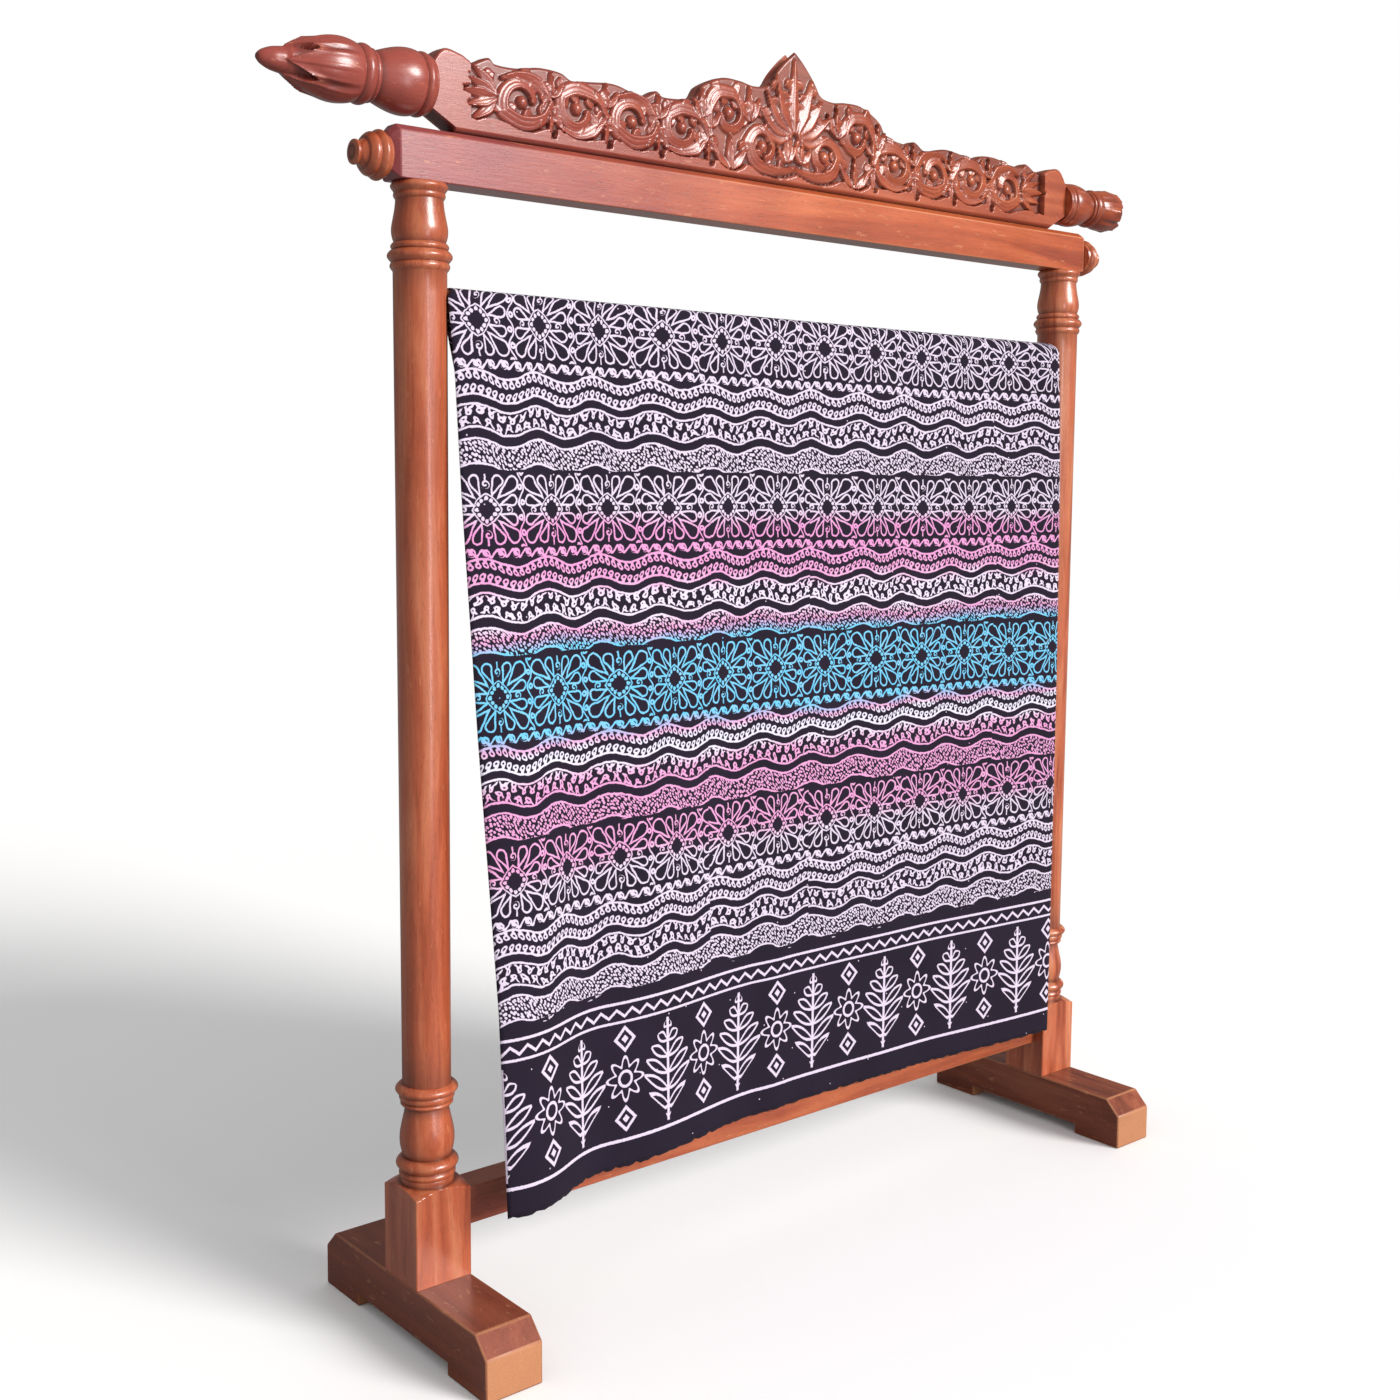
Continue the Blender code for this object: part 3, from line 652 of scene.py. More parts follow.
def lobeRelief(place, root, tip, size):
    # A drop-shaped leaf lobe, widest past its middle
    path = curveThrough([root, tip], 1.0)
    halfWidth = size * np.sin(math.pi * np.linspace(0.12, 0.96, len(path)) ** 1.5)
    return sweptRelief(place, path, np.maximum(halfWidth, 1), 0.66, 0.10)


def sideLobes(path, width):
    # Lobes at an even pitch along a stroke, on both sides by turns, leaning back from its heading; none
    # reaches into the strip along the foot or the end field
    heading = np.gradient(path, axis=0)
    for i in range(8, len(path) - 5, scroll["lobePitch"]):
        side = 1 if (i // scroll["lobePitch"]) % 2 else -1
        along = heading[i] / np.hypot(*heading[i])
        outward = np.array([-along[1], along[0]]) * side
        tip = path[i] + outward * (width[i] + 8) - along * 9
        if 30 < tip[1] and tip[0] < 495:
            yield path[i], tip, 7.5


def carvedHeight(place):
    # The highest of all strokes, 0 at the ground and 1 at the flat field; place is in mm
    height = np.zeros(len(place))
    for points, first, widest, last in leaves:
        path = curveThrough(points, 1.0)
        share = np.linspace(0, 1, len(path))
        width = 1.35 * np.interp(share, [0, 0.35, 1], [first, widest, last])
        height = np.maximum(height, sweptRelief(place, path, width, 0.92, 0.06))
        for root, tip, size in sideLobes(path, width):
            height = np.maximum(height, lobeRelief(place, root, tip, size))
    for tail, eye, turns, first, last, ball in curls:
        arm = np.array(tail[-1]) - eye
        swing = np.linspace(0, math.pi * turns, 28)[1:]
        angle = math.atan2(arm[1], arm[0]) + swing
        reach = np.hypot(*arm) * np.linspace(1, 0.62, 27)
        spiral = np.stack([eye[0] + reach * np.cos(angle), eye[1] + reach * np.sin(angle)], axis=1)
        path = curveThrough([*tail, *spiral], 1.0)
        width = 1.15 * np.interp(np.linspace(0, 1, len(path)), [0, 0.3, 1], [0.5 * first, first, last])
        height = np.maximum(height, sweptRelief(place, path, width, 1.0, 0.08))
        for root, tip, size in sideLobes(path[:len(path) * 2 // 3], width):
            height = np.maximum(height, lobeRelief(place, root, tip, size))
        fromEye = np.linalg.norm(place - np.array(eye), axis=1) / ball
        height = np.maximum(height, np.sqrt(np.clip(1 - fromEye ** 2, 0, 1)) * 1.02)
    return height


def boxBlur(grid, reach):
    # Mean over a square of 2 reach + 1 rows and columns
    for axis in (0, 1):
        pad = [(reach + 1, reach) if k == axis else (0, 0) for k in range(2)]
        total = np.cumsum(np.pad(grid, pad, mode="edge"), axis=axis)
        grid = (np.take(total, range(2 * reach + 1, total.shape[axis]), axis=axis)
                - np.take(total, range(0, total.shape[axis] - 2 * reach - 1), axis=axis)) / (2 * reach + 1)
    return grid


topCurve = curveThrough(boardTopEdge, 0.0015)
across = np.linspace(-board["halfLength"], board["halfLength"], board["columns"])
topHeight = np.interp(np.abs(across), topCurve[::-1, 0], topCurve[::-1, 1])
cornerShare = np.clip((np.abs(across) - board["footHalfLength"])
                      / (board["halfLength"] - board["footHalfLength"]), 0, 1)
lowHeight = board["bottom"] + cornerShare * (board["cornerBottom"] - board["bottom"])
up = np.linspace(0, 1, board["rows"])[:, None]
frontZ = lowHeight + (topHeight - lowHeight) * up
frontX = np.broadcast_to(across, frontZ.shape)
# the two halves differ a little, as two strokes of a gouge do
swayX = 1.2 * np.sin(frontX * 41 + 1.0) + 0.5 * np.sin(frontX * 97 + frontZ * 60)
swayZ = 0.9 * np.sin(frontX * 53 + 2.0) + 0.4 * np.sin(frontX * 121 + frontZ * 45)
frontRise = frontZ * 1000 - scroll["zero"]
place = np.stack([np.abs(frontX * 1000 + 4) + swayX, frontRise + swayZ], axis=-1).reshape(-1, 2)
strokes = carvedHeight(place).reshape(frontZ.shape)
# the end fields and the strip below stay at the board's own face, cut back around the leaves
field = np.clip((np.abs(frontX) * 1000 - 528) / 2, 0, 1)
strip = np.clip((19 + 3 * np.sin(np.abs(frontX) * 66) - frontRise) / 2, 0, 1)
around = np.clip(boxBlur((strokes > 0.03).astype(float), 1) * 2.2, 0, 1)
flatShare = np.maximum(field, strip) * (1 - around)
depth = np.minimum(board["ground"] * (1 - flatShare), board["ground"] - board["rise"] * strokes)
edgeGap = np.minimum(topHeight - frontZ, 0.02) * 1000
depth = depth + 0.0035 * np.clip(1 - edgeGap / 4, 0, 1) ** 2
# painted shade: dark where the surface lies below its surroundings, near and wider, and low on the ground
boardHollowShade = np.clip((boxBlur(-depth, 2) + depth) / 0.0013, 0, 1)
boardHollowShade = np.maximum(boardHollowShade, np.clip((boxBlur(-depth, 5) + depth) / 0.0030, 0, 1))
boardHollowShade = np.maximum(boardHollowShade, 0.45 * np.clip((depth - 0.0070) / 0.0030, 0, 1))
front = np.stack([frontX, -board["thickness"] / 2 + depth, frontZ], axis=-1)
backZ = topHeight + (lowHeight - topHeight) * np.linspace(0.02, 1, board["backRows"])[:, None]
back = np.stack([np.broadcast_to(across, backZ.shape), np.full(backZ.shape, board["thickness"] / 2),
                 backZ], axis=-1)
topShares = np.array([0.25, 0.5, 0.75, 0.95])[:, None]
crownShare = np.clip((topHeight - 1.596) / 0.030, 0, 1)[None, :]  # the crown's tips part, front from back
topRound = (np.array([0.0004, 0.0008, 0.0006, 0.0])[:, None]
            - crownShare * np.array([0.014, 0.017, 0.012, 0])[:, None])
frontTopY = front[-1, :, 1][None, :]
top = np.stack([np.broadcast_to(across, (4, len(across))),
                frontTopY + (board["thickness"] / 2 - frontTopY) * topShares,
                topHeight[None, :] + topRound], axis=-1)
footDepth = np.where(np.abs(across) < board["footHalfLength"], board["bottom"] - board["footBottom"], 0.0)
footRows = np.stack([np.stack([across, np.full_like(across, y * board["footWidth"] / 2),
                               lowHeight - footDepth], axis=-1) for y in (1, -1)])
loop = np.concatenate([front, top, back, footRows]).transpose(1, 0, 2) + (rackShift, 0, 0)
mesh = gridMesh("crest_board_carved", loop, around=True, capped=True)
cutShare = np.zeros(loop.shape[:2])
cutShare[:, :board["rows"]] = boardHollowShade.T * 0.85
# painted shadow: the foot is darkened where it stands in the slot above the beam
cutShare[:, -2:] = 0.9  # the foot stands in the dark slot above the beam
addShares(mesh, "cut", cutShare.ravel())
addPiece("crest_board_carved", mesh, [carvedWood], ["crest_board"], crease=70)


print("cloth shape")
cloth = {"width": 1.13, "thickness": 0.0007, "railHeight": 1.2625, "radius": 0.0158, "frontHem": 0.157,
         "backHem": 0.240, "columns": 170, "frontRows": 132, "arcRows": 10, "backRows": 120}
# columns: middle across, half width, depth at the rail, depth at the hem
frontFolds = [(0.030, 0.170, 0.0127, 0.0720), (0.250, 0.240, 0, 0.0310), (0.520, 0.050, 0, 0.0030),
              (0.760, 0.110, 0, 0.0030), (1.120, 0.360, 0, 0.0220), (1.130, 0.120, 0.0135, 0.0010)]
backFolds = [(0.150, 0.115, 0.001, 0.0500), (0.375, 0.110, 0.001, 0.0560), (0.590, 0.105, 0.001, 0.0480),
             (0.810, 0.115, 0.001, 0.0580), (1.030, 0.100, 0.002, 0.0440)]
# columns: fall from rail to hem, left edge, right edge, lean
frontEdges = [(0, -0.5701, 0.5600, 0), (0.08, -0.5653, 0.5625, 0.0015), (0.21, -0.5631, 0.5635, 0.0040),
              (0.47, -0.5530, 0.5615, 0.0065), (0.77, -0.5370, 0.5560, 0.0080), (1, -0.5340, 0.5515, 0.0090)]
backEdges = [(0, -0.5530, 0.5530, 0), (0.09, -0.5320, 0.5515, 0.0010), (0.23, -0.5190, 0.5480, 0.0020),
             (0.51, -0.4940, 0.5420, 0.0040), (0.83, -0.4620, 0.5360, 0.0060), (1, -0.4500, 0.5320, 0.0070)]


def hangingRows(fall, folds, edges, side, hem):
    # depth = sum of (atRail + (atHem - atRail) fall) (1 + cos(pi |a - middle| / halfWidth)) / 2;
    # x runs on by sqrt(step^2 - change of depth^2), fitted between the edges;
    # y = side (radius + lean + depth)
    a = np.linspace(0, cloth["width"], cloth["columns"])
    depth = np.zeros((len(fall), len(a)))
    for middle, halfWidth, atRail, atHem in folds:
        swell = (1 + np.cos(np.pi * np.clip(np.abs(a - middle) / halfWidth, 0, 1))) / 2
        depth += (atRail + (atHem - atRail) * fall[:, None]) * swell
    table = np.array(edges)
    left, right, lean = (np.interp(fall, table[:, 0], table[:, k])[:, None] for k in (1, 2, 3))
    run = np.cumsum(np.sqrt((a[1] - a[0]) ** 2 - np.diff(depth, axis=1, prepend=depth[:, :1]) ** 2), axis=1)
    run = (run - run[:, :1]) / (run[:, -1:] - run[:, :1])
    x = left + (right - left) * run
    y = side * (cloth["radius"] + lean + depth)
    z = cloth["railHeight"] + (hem - cloth["railHeight"]) * fall[:, None] * np.ones_like(x)
    return np.stack([x, y, z], axis=-1)


frontFall = np.linspace(1, 0, cloth["frontRows"])
backFall = np.linspace(0, 1, cloth["backRows"])
frontRows = hangingRows(frontFall, frontFolds, frontEdges, -1, cloth["frontHem"])
# the raw hem is torn a little unevenly
ragged = np.arange(cloth["columns"])
frontRows[0, :, 2] += 0.0014 * np.abs(np.sin(ragged * 1.7) + np.sin(ragged * 0.61 + 1.0)
                                      + np.sin(ragged * 3.1))
backRows = hangingRows(backFall, backFolds, backEdges, 1, cloth["backHem"])
angle = np.linspace(0, math.pi, cloth["arcRows"] + 2)[1:-1, None]
turnShare = np.sin(np.minimum(angle, math.pi / 2)) ** 2
arcX = frontRows[-1, :, 0] + (backRows[0, :, 0] - frontRows[-1, :, 0]) * turnShare
arcY = np.cos(angle) * np.where(angle < math.pi / 2, frontRows[-1, :, 1], -backRows[0, :, 1])
arcZ = cloth["railHeight"] + cloth["radius"] * np.sin(angle) * np.ones_like(arcX)
sheetPoints = np.concatenate([frontRows, np.stack([arcX, arcY, arcZ], axis=-1), backRows]) + (rackShift, 0, 0)
frontDrop = cloth["railHeight"] - cloth["frontHem"]
backDrop = cloth["railHeight"] - cloth["backHem"]
lengthwise = np.concatenate([frontDrop * (1 - frontFall),
                             frontDrop + cloth["radius"] * angle[:, 0],
                             frontDrop + cloth["radius"] * math.pi + backDrop * backFall])
crosswise = np.linspace(0, cloth["width"], cloth["columns"])
clothMesh = gridMesh("cloth_batik", sheetPoints)
uvLayer = clothMesh.uv_layers.new(name="clothMeasure")
corner = np.empty(len(clothMesh.loops), dtype=np.int32)
clothMesh.loops.foreach_get("vertex_index", corner)
measure = np.stack(np.broadcast_arrays(crosswise[None, :], lengthwise[:, None]), axis=-1).reshape(-1, 2)
uvLayer.data.foreach_set("uv", measure[corner].ravel())


print("cloth dye and wax")
batik = {"ground": "#1a1421", "groundLow": "#271e2e", "period": 0.2235, "rowTop": 0.0475,
         "flowerRow": 1.0835, "flowerPitch": 0.0985, "flowerStart": 0.0335, "wavePitch": 0.0950,
         "waveStart": 0.0235, "wave": 0.0054, "borderPitch": 0.1500, "thread": 0.0012}


def strokeSteps(name, value, line):
    # A line of that half width where value is zero
    return [*awaySteps(name, value, line), ("ink", "MINIMUM", "ink", name)]


def waveSteps(name, value, length, operation="SINE"):
    # sin(2 pi value / length)
    return [(name, "MULTIPLY", value, 2 * math.pi / length), (name, operation, name)]


def lineSteps(name, value, place, line):
    # A line of that half width where value reaches place
    return [(name, "SUBTRACT", value, place), *strokeSteps(name, name, line)]


def bandSteps(letter, middle, half):
    # A waved band: the way from its middle, the same without its sign, and the way past its edge
    return [("band" + letter, "SUBTRACT", "waved", middle), ("depth" + letter, "ABSOLUTE", "band" + letter),
            ("edge" + letter, "SUBTRACT", "depth" + letter, half)]


def spiralSteps(name, x, y, size, pitch, line, turn=1):
    # A wound line: |wrap(r - turn pitch angle / 2 pi, pitch)| - line, kept inside r = size
    return [
        *distanceSteps(name + "R", x, y),
        (name + "T", "ARCTAN2", y, x),
        (name + "T", "MULTIPLY_ADD", name + "T", -turn * pitch / (2 * math.pi), name + "R"),
        (name + "T", "WRAP", name + "T", pitch / 2, -pitch / 2),
        *awaySteps(name, name + "T", line),
        (name + "R", "SUBTRACT", name + "R", size),
        (name, "MAXIMUM", name, name + "R"),
        ("ink", "MINIMUM", "ink", name),
    ]


def makeBatik():
    # Plain-weave cotton, dyed dark through a wax resist: matt, with pale lines soft at the edges
    material = bpy.data.materials.new("wax resist dyed cotton")
    tree = emptyTree(material)
    measured = addNode(tree, "UVMap", uv_map="clothMeasure").outputs[0]
    split = addNode(tree, "SeparateXYZ", {0: measured})
    known = {"u": split.outputs[0], "v": split.outputs[1]}
    period, pitch, rowTop = batik["period"], batik["flowerPitch"], batik["rowTop"]
    spray = batik["borderPitch"] / 2
    # the stamp's row, and the place within it: down is 0 at the flowers' middle
    followSteps(tree, known, [
        ("fall", "SUBTRACT", batik["flowerRow"], "v"),
        ("rowAt", "ADD", "fall", rowTop),
        ("rowAt", "DIVIDE", "rowAt", period),
        ("row", "FLOOR", "rowAt"),
        ("rowHalf", "MULTIPLY", "row", 3.7),
        ("drift", "MULTIPLY", "u", 6.0),
    ])
    driftPlace = addNode(tree, "CombineXYZ", {0: known["drift"], 1: known["rowHalf"]})
    known["drift"] = addNode(tree, "TexNoise", {"Vector": driftPlace.outputs[0], "Scale": 1.0}).outputs[0]
    followSteps(tree, known, [
        ("drift", "SUBTRACT", "drift", 0.5),
        ("across", "MULTIPLY_ADD", "drift", 0.040, "u"),
        ("block", "DIVIDE", "across", 2 * pitch),
        ("block", "FLOOR", "block"),
    ])
    stampPlace = addNode(tree, "CombineXYZ", {0: known["block"], 1: known["row"]})
    known["jolt"] = addNode(tree, "TexWhiteNoise", {0: stampPlace.outputs[0]},
                            noise_dimensions="3D").outputs[0]
    shiver = addNode(tree, "TexNoise", {"Vector": measured, "Scale": 62.0, "Detail": 1.5})
    shiverSplit = addNode(tree, "SeparateXYZ", {0: shiver.outputs[1]})
    known["shiverU"], known["shiverV"] = shiverSplit.outputs[0], shiverSplit.outputs[1]
    followSteps(tree, known, [
        ("shiverU", "SUBTRACT", "shiverU", 0.5),
        ("across", "MULTIPLY_ADD", "shiverU", 0.0052, "across"),
        ("shiverV", "SUBTRACT", "shiverV", 0.5),
        ("fall", "MULTIPLY_ADD", "shiverV", 0.0040, "fall"),
        ("jolt", "SUBTRACT", "jolt", 0.5),
        ("down", "WRAP", "fall", period - rowTop, -rowTop),
        ("down", "MULTIPLY_ADD", "jolt", 0.0040, "down"),
        # wave bands: two lines each, all in step
        ("swing", "SUBTRACT", "across", batik["waveStart"]),
        *waveSteps("swing", "swing", batik["wavePitch"], "COSINE"),
        ("waved", "MULTIPLY_ADD", "swing", batik["wave"], "down"),
        *bandSteps("A", 0.0780, 0.0142),
        ("line", "ABSOLUTE", "edgeA"),
        ("ink", "SUBTRACT", "line", 0.0013),
        # first band: two rows of seeds, each a ring with a slanting tail
        ("lower", "GREATER_THAN", "bandA", 0.0),
        ("seedAt", "MULTIPLY_ADD", "lower", 0.0049, "across"),
        ("seedAt", "MULTIPLY_ADD", "depthA", 0.45, "seedAt"),
        ("seedX", "WRAP", "seedAt", 0.0050, -0.0050),
        ("seedY", "SUBTRACT", "depthA", 0.0066),
        *distanceSteps("sr", "seedX", "seedY"),
        ("sr", "SUBTRACT", "sr", 0.0028),
        *awaySteps("ring", "sr", 0.0012),
        ("tail", "SUBTRACT", "seedX", 0.0014),
        *awaySteps("tail", "tail", 0.0021),
        ("root", "SUBTRACT", 0.0084, "depthA"),
        ("tail", "MAXIMUM", "tail", "root"),
        ("ring", "MINIMUM", "ring", "tail"),
        ("full", "SUBTRACT", 0.0128, "depthA"),
        ("ring", "MINIMUM", "ring", "full"),
        ("ring", "MAXIMUM", "ring", "edgeA"),
        ("ink", "MINIMUM", "ink", "ring"),
        # second band: two rows of knots on two feet
        *bandSteps("B", 0.1178, 0.0137),
        *strokeSteps("line", "edgeB", 0.0013),
        ("lower", "GREATER_THAN", "bandB", 0.0),
        ("knotX", "MULTIPLY_ADD", "lower", 0.0070, "across"),
        ("knotX", "MULTIPLY_ADD", "shiverU", 0.0120, "knotX"),
        ("knotX", "WRAP", "knotX", 0.0076, -0.0076),
        ("knotX", "MULTIPLY_ADD", "depthB", -0.20, "knotX"),
        ("knotX", "ADD", "knotX", 0.0012),
        ("knotX", "ABSOLUTE", "knotX"),
        ("knotY", "MULTIPLY_ADD", "shiverV", 0.0120, "depthB"),
        ("knotY", "SUBTRACT", "knotY", 0.0048),
        *distanceSteps("kr", "knotX", "knotY"),
        ("kr", "SUBTRACT", "kr", 0.0027),
        *awaySteps("ring", "kr", 0.0015),
        ("feet", "MULTIPLY_ADD", "knotY", -0.62, "knotX"),
        ("feet", "SUBTRACT", "feet", 0.0004),
        *awaySteps("feet", "feet", 0.0018),
        ("root", "SUBTRACT", 0.0015, "knotY"),
        ("feet", "MAXIMUM", "feet", "root"),
        ("reach", "SUBTRACT", "knotY", 0.0068),
        ("feet", "MAXIMUM", "feet", "reach"),
        ("ring", "MINIMUM", "ring", "feet"),
        ("ink", "MINIMUM", "ink", "ring"),
        # third band: packed small grains
        *bandSteps("C", 0.1595, 0.0145),
        *strokeSteps("line", "edgeC", 0.0013),
        ("grainX", "ADD", "across", "waved"),
        ("grainX", "MULTIPLY", "grainX", 115.0),
        ("grainY", "SUBTRACT", "waved", "across"),
        ("grainY", "MULTIPLY", "grainY", 200.0),
    ])
    grainPlace = addNode(tree, "CombineXYZ", {0: known["grainX"], 1: known["grainY"]})
    known["grain"] = addNode(tree, "TexVoronoi", {"Vector": grainPlace.outputs[0], "Scale": 1.0,
                                                  "Randomness": 0.75}, voronoi_dimensions="2D").outputs[0]
    followSteps(tree, known, [
        ("grain", "SUBTRACT", "grain", 0.37),
        ("grain", "MULTIPLY", "grain", 0.0055),
        ("grain", "MAXIMUM", "grain", "edgeC"),
        ("ink", "MINIMUM", "ink", "grain"),
        # flowers: a quarter is folded out, with three drop-shaped petals in it
        ("flowerAt", "SUBTRACT", "across", batik["flowerStart"]),
        ("cellX", "WRAP", "flowerAt", pitch / 2, -pitch / 2),
        ("ax", "ABSOLUTE", "cellX"),
        ("ay", "ABSOLUTE", "down"),
        *distanceSteps("r", "ax", "ay"),
        ("theta", "ARCTAN2", "ay", "ax"),
        ("turned", "SUBTRACT", "theta", math.radians(6.0)),
        ("sector", "DIVIDE", "turned", math.radians(24)),
        ("sector", "FLOOR", "sector"),
        ("sector", "MAXIMUM", "sector", 0.0),
        ("sector", "MINIMUM", "sector", 2.0),
        ("local", "MULTIPLY_ADD", "sector", -math.radians(24), "turned"),
        ("local", "SUBTRACT", "local", math.radians(12)),
        ("outer", "SUBTRACT", "sector", 1.0),
        ("outer", "ABSOLUTE", "outer"),
        ("h", "MULTIPLY_ADD", "outer", -0.0068, 0.0260),
        ("start", "MULTIPLY_ADD", "outer", -0.0030, 0.0212),
        ("side", "SINE", "local"),
        ("side", "MULTIPLY", "side", "r"),
        ("side", "ABSOLUTE", "side"),
        ("along", "COSINE", "local"),
        ("along", "MULTIPLY", "along", "r"),
        ("along", "SUBTRACT", "along", "start"),
        ("past", "SUBTRACT", "along", "h"),
        *distanceSteps("drop", "side", "past"),
        ("drop", "MULTIPLY_ADD", "h", -0.34, "drop"),
        ("cone", "MULTIPLY", "side", 0.9404),
        ("cone", "MULTIPLY_ADD", "along", -0.34, "cone"),
        ("past", "MULTIPLY", "past", 0.9404),
        ("past", "MULTIPLY_ADD", "side", 0.34, "past"),
        ("past", "GREATER_THAN", "past", 0.0),
        ("drop", "SUBTRACT", "drop", "cone"),
        ("petal", "MULTIPLY_ADD", "drop", "past", "cone"),
        *strokeSteps("petal", "petal", 0.0012),
        # the flower's heart: a dark lozenge ringed with dots and a line
        ("sum", "ADD", "ax", "ay"),
        ("heart", "MULTIPLY", "sum", 0.42),
        ("heart", "MULTIPLY_ADD", "r", 0.50, "heart"),
        ("dotTurn", "WRAP", "theta", math.radians(15), -math.radians(15)),
        ("dotTurn", "MULTIPLY", "dotTurn", "r"),
        ("dotOut", "SUBTRACT", "heart", 0.0130),
        *distanceSteps("dot", "dotTurn", "dotOut"),
        ("dot", "SUBTRACT", "dot", 0.0025),
        ("ink", "MINIMUM", "ink", "dot"),
        *lineSteps("heart", "heart", 0.0176, 0.0009),
        # small curls between the petals, left and right, above and below
        ("cx", "SUBTRACT", "ax", 0.0295),
        *spiralSteps("curlSide", "cx", "down", 0.0050, 0.0048, 0.0011),
        ("cy", "SUBTRACT", "ay", 0.0300),
        *spiralSteps("curlTop", "cellX", "cy", 0.0050, 0.0048, 0.0011, -1),
        *awaySteps("tip", "cellX", 0.0010),
        ("tipEnd", "SUBTRACT", "ay", 0.0385),
        *awaySteps("tipEnd", "tipEnd", 0.0040),
        ("tip", "MAXIMUM", "tip", "tipEnd"),
        ("ink", "MINIMUM", "ink", "tip"),
        # stem of beads and a winding line between two flowers
        ("stemX", "ADD", "flowerAt", pitch / 2),
        ("stemX", "WRAP", "stemX", pitch / 2, -pitch / 2),
        *waveSteps("wind", "down", 0.0360),
        ("stem", "MULTIPLY_ADD", "wind", -0.0042, "stemX"),
        *awaySteps("stem", "stem", 0.0012),
        ("beadX", "MULTIPLY_ADD", "wind", 0.0016, "stemX"),
        ("beadY", "WRAP", "down", 0.0180, 0.0),
        ("beadY", "SUBTRACT", "beadY", 0.0090),
        *distanceSteps("bead", "beadX", "beadY"),
        ("bead", "SUBTRACT", "bead", 0.0026),
        *awaySteps("bead", "bead", 0.0014),
        ("stem", "MINIMUM", "stem", "bead"),
        ("end", "SUBTRACT", "ay", 0.0445),
        ("stem", "MAXIMUM", "stem", "end"),
        ("ink", "MINIMUM", "ink", "stem"),
        # running scroll under the flowers: a wavy line with a curl on every crest
        *waveSteps("runX", "across", 0.0200),
        ("runY", "SUBTRACT", "down", 0.0520),
        ("run", "MULTIPLY_ADD", "runX", 0.0042, "runY"),
        *awaySteps("run", "run", 0.0019),
        *awaySteps("runEnd", "runY", 0.0062),
        ("run", "MAXIMUM", "run", "runEnd"),
        ("ink", "MINIMUM", "ink", "run"),
        ("knob", "SUBTRACT", "across", 0.0092),
        ("knob", "WRAP", "knob", 0.0100, -0.0100),
        ("runY", "ADD", "runY", 0.0002),
        *spiralSteps("runCurl", "knob", "runY", 0.0056, 0.0054, 0.0019),
        # rows end above the border; the swing is taken along so that the last line stays whole
        ("belowRows", "MULTIPLY_ADD", "swing", batik["wave"], "fall"),
        ("belowRows", "SUBTRACT", "belowRows", 3 * period + 0.1760),
        ("ink", "MAXIMUM", "ink", "belowRows"),
        # border: leaf sprays, their leaves longest half way up
        ("sprayX", "WRAP", "u", spray, -spray),
        ("fromStem", "ABSOLUTE", "sprayX"),
        ("share", "SUBTRACT", "v", 0.0480),
        ("share", "DIVIDE", "share", 0.1360),
        *shareSteps("share"),
        *waveSteps("reach", "share", 2),
        ("reach", "MULTIPLY_ADD", "reach", 0.0430, 0.0004),
        ("leafShare", "DIVIDE", "fromStem", "reach"),
        ("leafShare", "MINIMUM", "leafShare", 1.0),
        *waveSteps("leafWide", "leafShare", 2),
        ("leafWide", "MULTIPLY", "leafWide", 0.0068),
        ("leafY", "MULTIPLY_ADD", "fromStem", -0.62, "v"),
        ("leafY", "WRAP", "leafY", 0.0110, -0.0110),
        ("leafY", "ABSOLUTE", "leafY"),
        ("leaf", "SUBTRACT", "leafY", "leafWide"),
        *awaySteps("leaf", "leaf", 0.0019),
        ("pastTip", "SUBTRACT", "fromStem", "reach"),
        ("leaf", "MAXIMUM", "leaf", "pastTip"),
        ("stemEnd", "SUBTRACT", "v", 0.1150),
        *awaySteps("stemEnd", "stemEnd", 0.0700),
        ("leaf", "MAXIMUM", "leaf", "stemEnd"),
        ("ink", "MINIMUM", "ink", "leaf"),
        ("stem", "SUBTRACT", "fromStem", 0.0022),
        ("stem", "MAXIMUM", "stem", "stemEnd"),
        ("ink", "MINIMUM", "ink", "stem"),
        # rosettes of eight petals between the sprays: |r - 23 mm - 6 mm cos 8a|
        ("roseX", "ADD", "u", spray),
        ("roseX", "WRAP", "roseX", spray, -spray),
        ("roseY", "SUBTRACT", "v", 0.1180),
        ("roseX2", "MULTIPLY", "roseX", "roseX"),
        ("roseR", "MULTIPLY_ADD", "roseY", "roseY", "roseX2"),
        ("roseR", "SQRT", "roseR"),
        ("rose", "ARCTAN2", "roseY", "roseX"),
        ("rose", "MULTIPLY", "rose", 8.0),
        ("rose", "COSINE", "rose"),
        ("rose", "MULTIPLY_ADD", "rose", -0.0060, "roseR"),
        *lineSteps("rose", "rose", 0.0230, 0.0022),
        *lineSteps("roseRing", "roseR", 0.0100, 0.0019),
        # lozenges above and below each rosette: | |x| + |y| - 15 mm |
        ("gemX", "ABSOLUTE", "roseX"),
        *awaySteps("gemY", "roseY", 0.0530),
        ("gemY", "ABSOLUTE", "gemY"),
        ("gem", "ADD", "gemX", "gemY"),
        ("gemHeart", "SUBTRACT", "gem", 0.0055),
        ("gemHeart", "MULTIPLY", "gemHeart", 0.7),
        ("ink", "MINIMUM", "ink", "gemHeart"),
        ("gem", "SUBTRACT", "gem", 0.0150),
        ("gem", "MULTIPLY", "gem", 0.7),
        *strokeSteps("gem", "gem", 0.0020),
        # zigzag between two plain lines above, one line below
        ("zigzag", "PINGPONG", "u", 0.0125),
        ("zigzag", "MULTIPLY_ADD", "zigzag", -0.75, "v"),
        *lineSteps("zigzag", "zigzag", 0.2010, 0.0022),
        *lineSteps("upperLine", "v", 0.2190, 0.0018),
        *lineSteps("middleLine", "v", 0.1940, 0.0016),
        *lineSteps("lowerLine", "v", 0.0370, 0.0021),
    ])
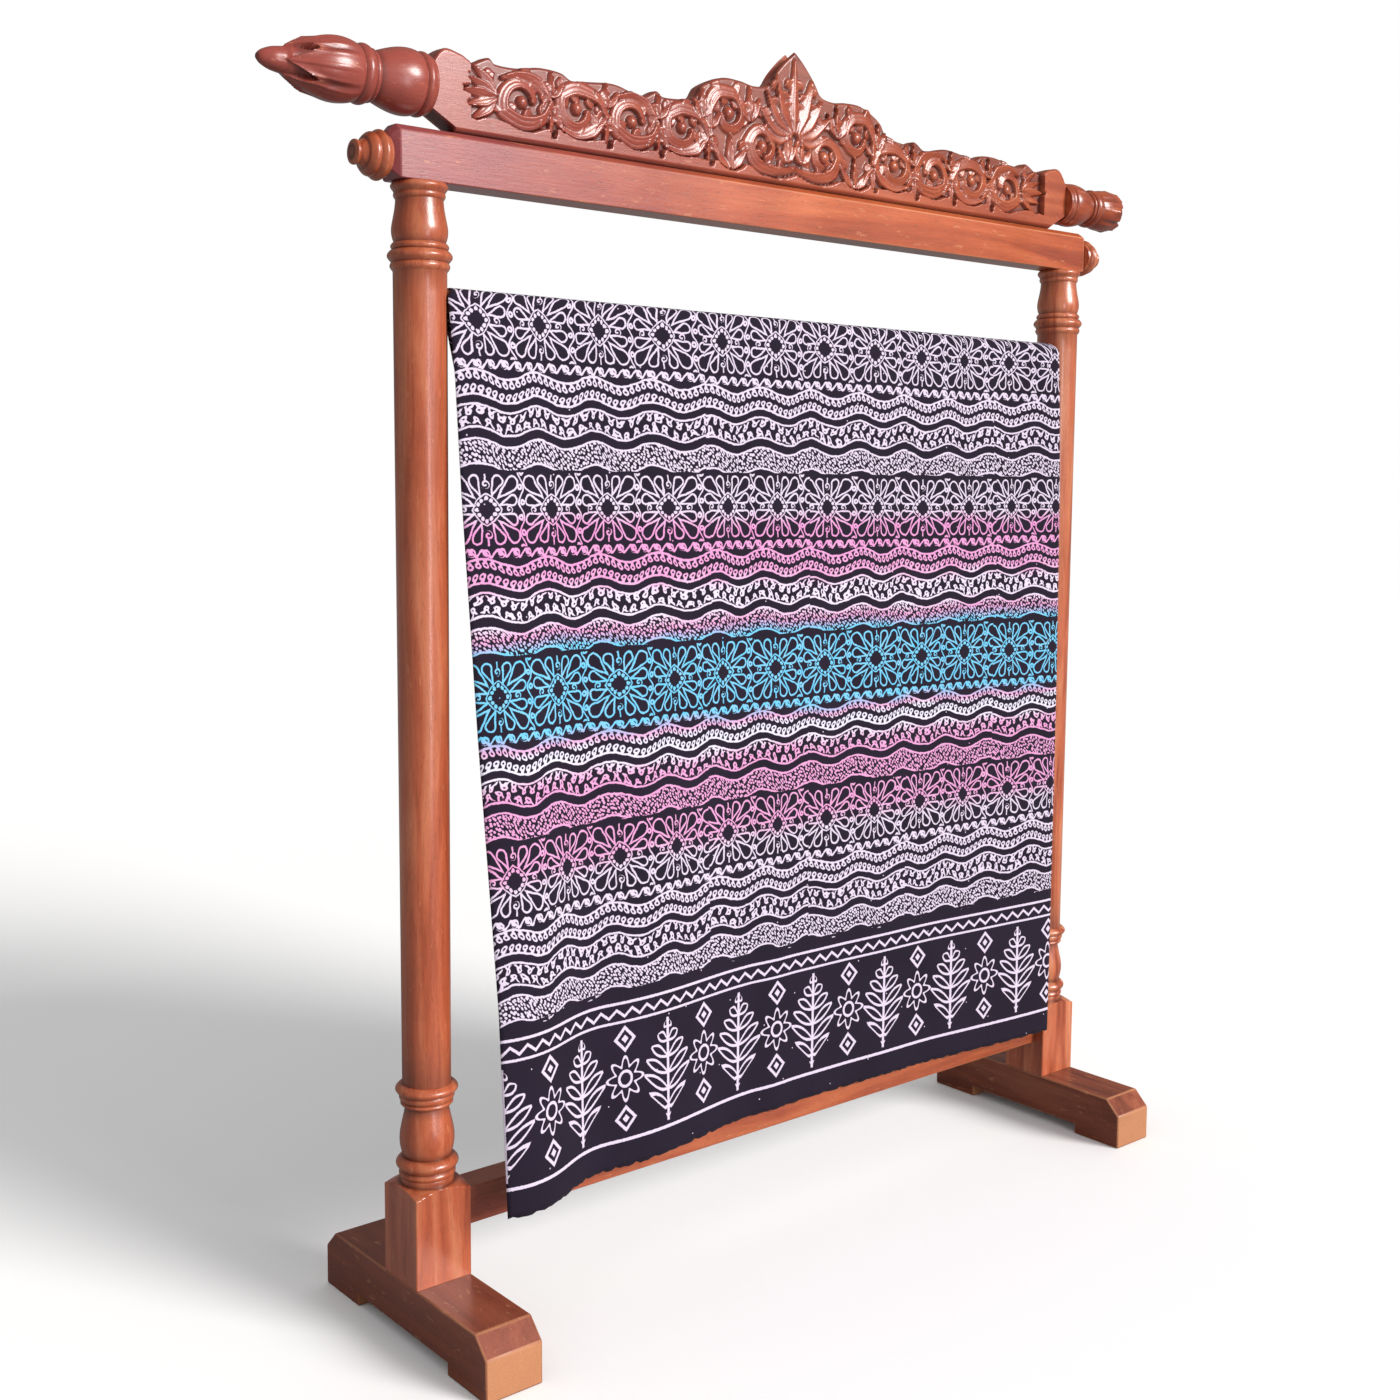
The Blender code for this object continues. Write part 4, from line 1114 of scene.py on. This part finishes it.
    # a few drops of wax fell beside the lines
    specks = addNode(tree, "TexVoronoi", {"Vector": measured, "Scale": 13.0}, voronoi_dimensions="2D")
    known["speck"] = specks.outputs[0]
    followSteps(tree, known, [
        ("speck", "SUBTRACT", "speck", 0.012),
        ("speck", "DIVIDE", "speck", 13.0),
        ("ink", "MINIMUM", "ink", "speck"),
    ])
    # the wax broke unevenly along its edges
    known["rough"] = addNode(tree, "TexNoise", {"Vector": measured, "Scale": 420.0, "Detail": 1.0}).outputs[0]
    followSteps(tree, known, [
        ("wobble", "SUBTRACT", "rough", 0.5),
        ("ink", "MULTIPLY_ADD", "wobble", 0.0014, "ink"),
        ("ink", "DIVIDE", "ink", -0.0006),
        ("wax", "ADD", "ink", 0.5),
        *shareSteps("wax"),
    ])
    # washes of dye painted over the bared lines, by the distance from the front hem
    washNoise = addNode(tree, "TexNoise", {"Vector": measured, "Scale": 9.0, "Detail": 3.0}).outputs[0]
    known["washNoise"] = washNoise
    followSteps(tree, known, [
        ("washAt", "SUBTRACT", "washNoise", 0.5),
        ("washAt", "MULTIPLY_ADD", "washAt", 0.030, "v"),
        ("washAt", "DIVIDE", "washAt", 2.2),
    ])
    washes = addNode(tree, "ValToRGB", {0: known["washAt"]}, [(v / 2.2, colour) for v, colour in (
        (0.395, "#cfc2d6"), (1.620, "#cfc2d6"), (0.420, "#d688bc"), (0.520, "#d688bc"), (0.535, "#d8d2e2"),
        (0.558, "#d0d2e2"), (0.570, "#d67ab6"), (0.580, "#38b6de"), (0.690, "#42bae0"), (0.702, "#d67ab6"),
        (0.722, "#d8cce0"), (0.752, "#d8cce0"), (0.768, "#d688bc"), (0.838, "#d67cba"), (0.856, "#cfc2d6"),
        (1.240, "#cfc2d6"), (1.270, "#d688bc"), (1.360, "#d688bc"), (1.390, "#42bae0"), (1.520, "#42bae0"),
        (1.550, "#d688bc"))]).outputs[0]
    tint = addNode(tree, "TexNoise", {"Vector": measured, "Scale": 60.0, "Detail": 2.0}).outputs[0]
    bleached = addNode(tree, "Mix", {0: tint, 6: washes, 7: toLinear("#dad0e0")}, data_type="RGBA").outputs[2]
    washed = addNode(tree, "Mix", {0: 0.65, 6: bleached, 7: washes}, data_type="RGBA").outputs[2]
    ground = addNode(tree, "Mix", {0: washNoise, 6: toLinear(batik["ground"]),
                                   7: toLinear(batik["groundLow"])}, data_type="RGBA").outputs[2]
    colour = addNode(tree, "Mix", {0: known["wax"], 6: ground, 7: washed}, data_type="RGBA").outputs[2]
    # weave: threads are 0.4 mm apart; drawn 1.2 mm apart, so that it shows
    followSteps(tree, known, [
        *waveSteps("warp", "u", batik["thread"]),
        *waveSteps("weft", "v", batik["thread"]),
        ("weave", "MULTIPLY", "warp", "weft"),
        ("weave", "MULTIPLY_ADD", "washNoise", 4.0, "weave"),
        # two sharp creases from when it lay folded
        ("crease", "SUBTRACT", "u", 0.605),
        ("crease", "WRAP", "crease", 0.1925, -0.1925),
        ("crease", "ABSOLUTE", "crease"),
        ("crease", "DIVIDE", "crease", -0.0025),
        ("crease", "ADD", "crease", 1.0),
        ("crease", "MAXIMUM", "crease", 0.0),
        ("weave", "MULTIPLY_ADD", "crease", 9.0, "weave"),
    ])
    bump = addNode(tree, "Bump", {"Height": known["weave"], "Strength": 0.25, "Distance": 0.0003})
    skin = addNode(tree, "BsdfPrincipled", {
        "Base Color": colour, "Roughness": 0.9, "Normal": bump.outputs[0], "IOR": 1.45,
        "Specular IOR Level": 0.18, "Sheen Weight": 0.04, "Sheen Roughness": 0.4})
    addNode(tree, "OutputMaterial", {"Surface": skin.outputs[0]})
    return material


batikCotton = makeBatik()
clothMesh.shade_smooth()
clothPiece = bpy.data.objects.new("cloth_batik", clothMesh)
scene.collection.objects.link(clothPiece)
clothMesh.materials.append(batikCotton)
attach(clothPiece, "root")
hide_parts("cloth")
sheetWall = clothPiece.modifiers.new("thickness", "SOLIDIFY")
sheetWall.thickness = cloth["thickness"]
sheetWall.offset = 0
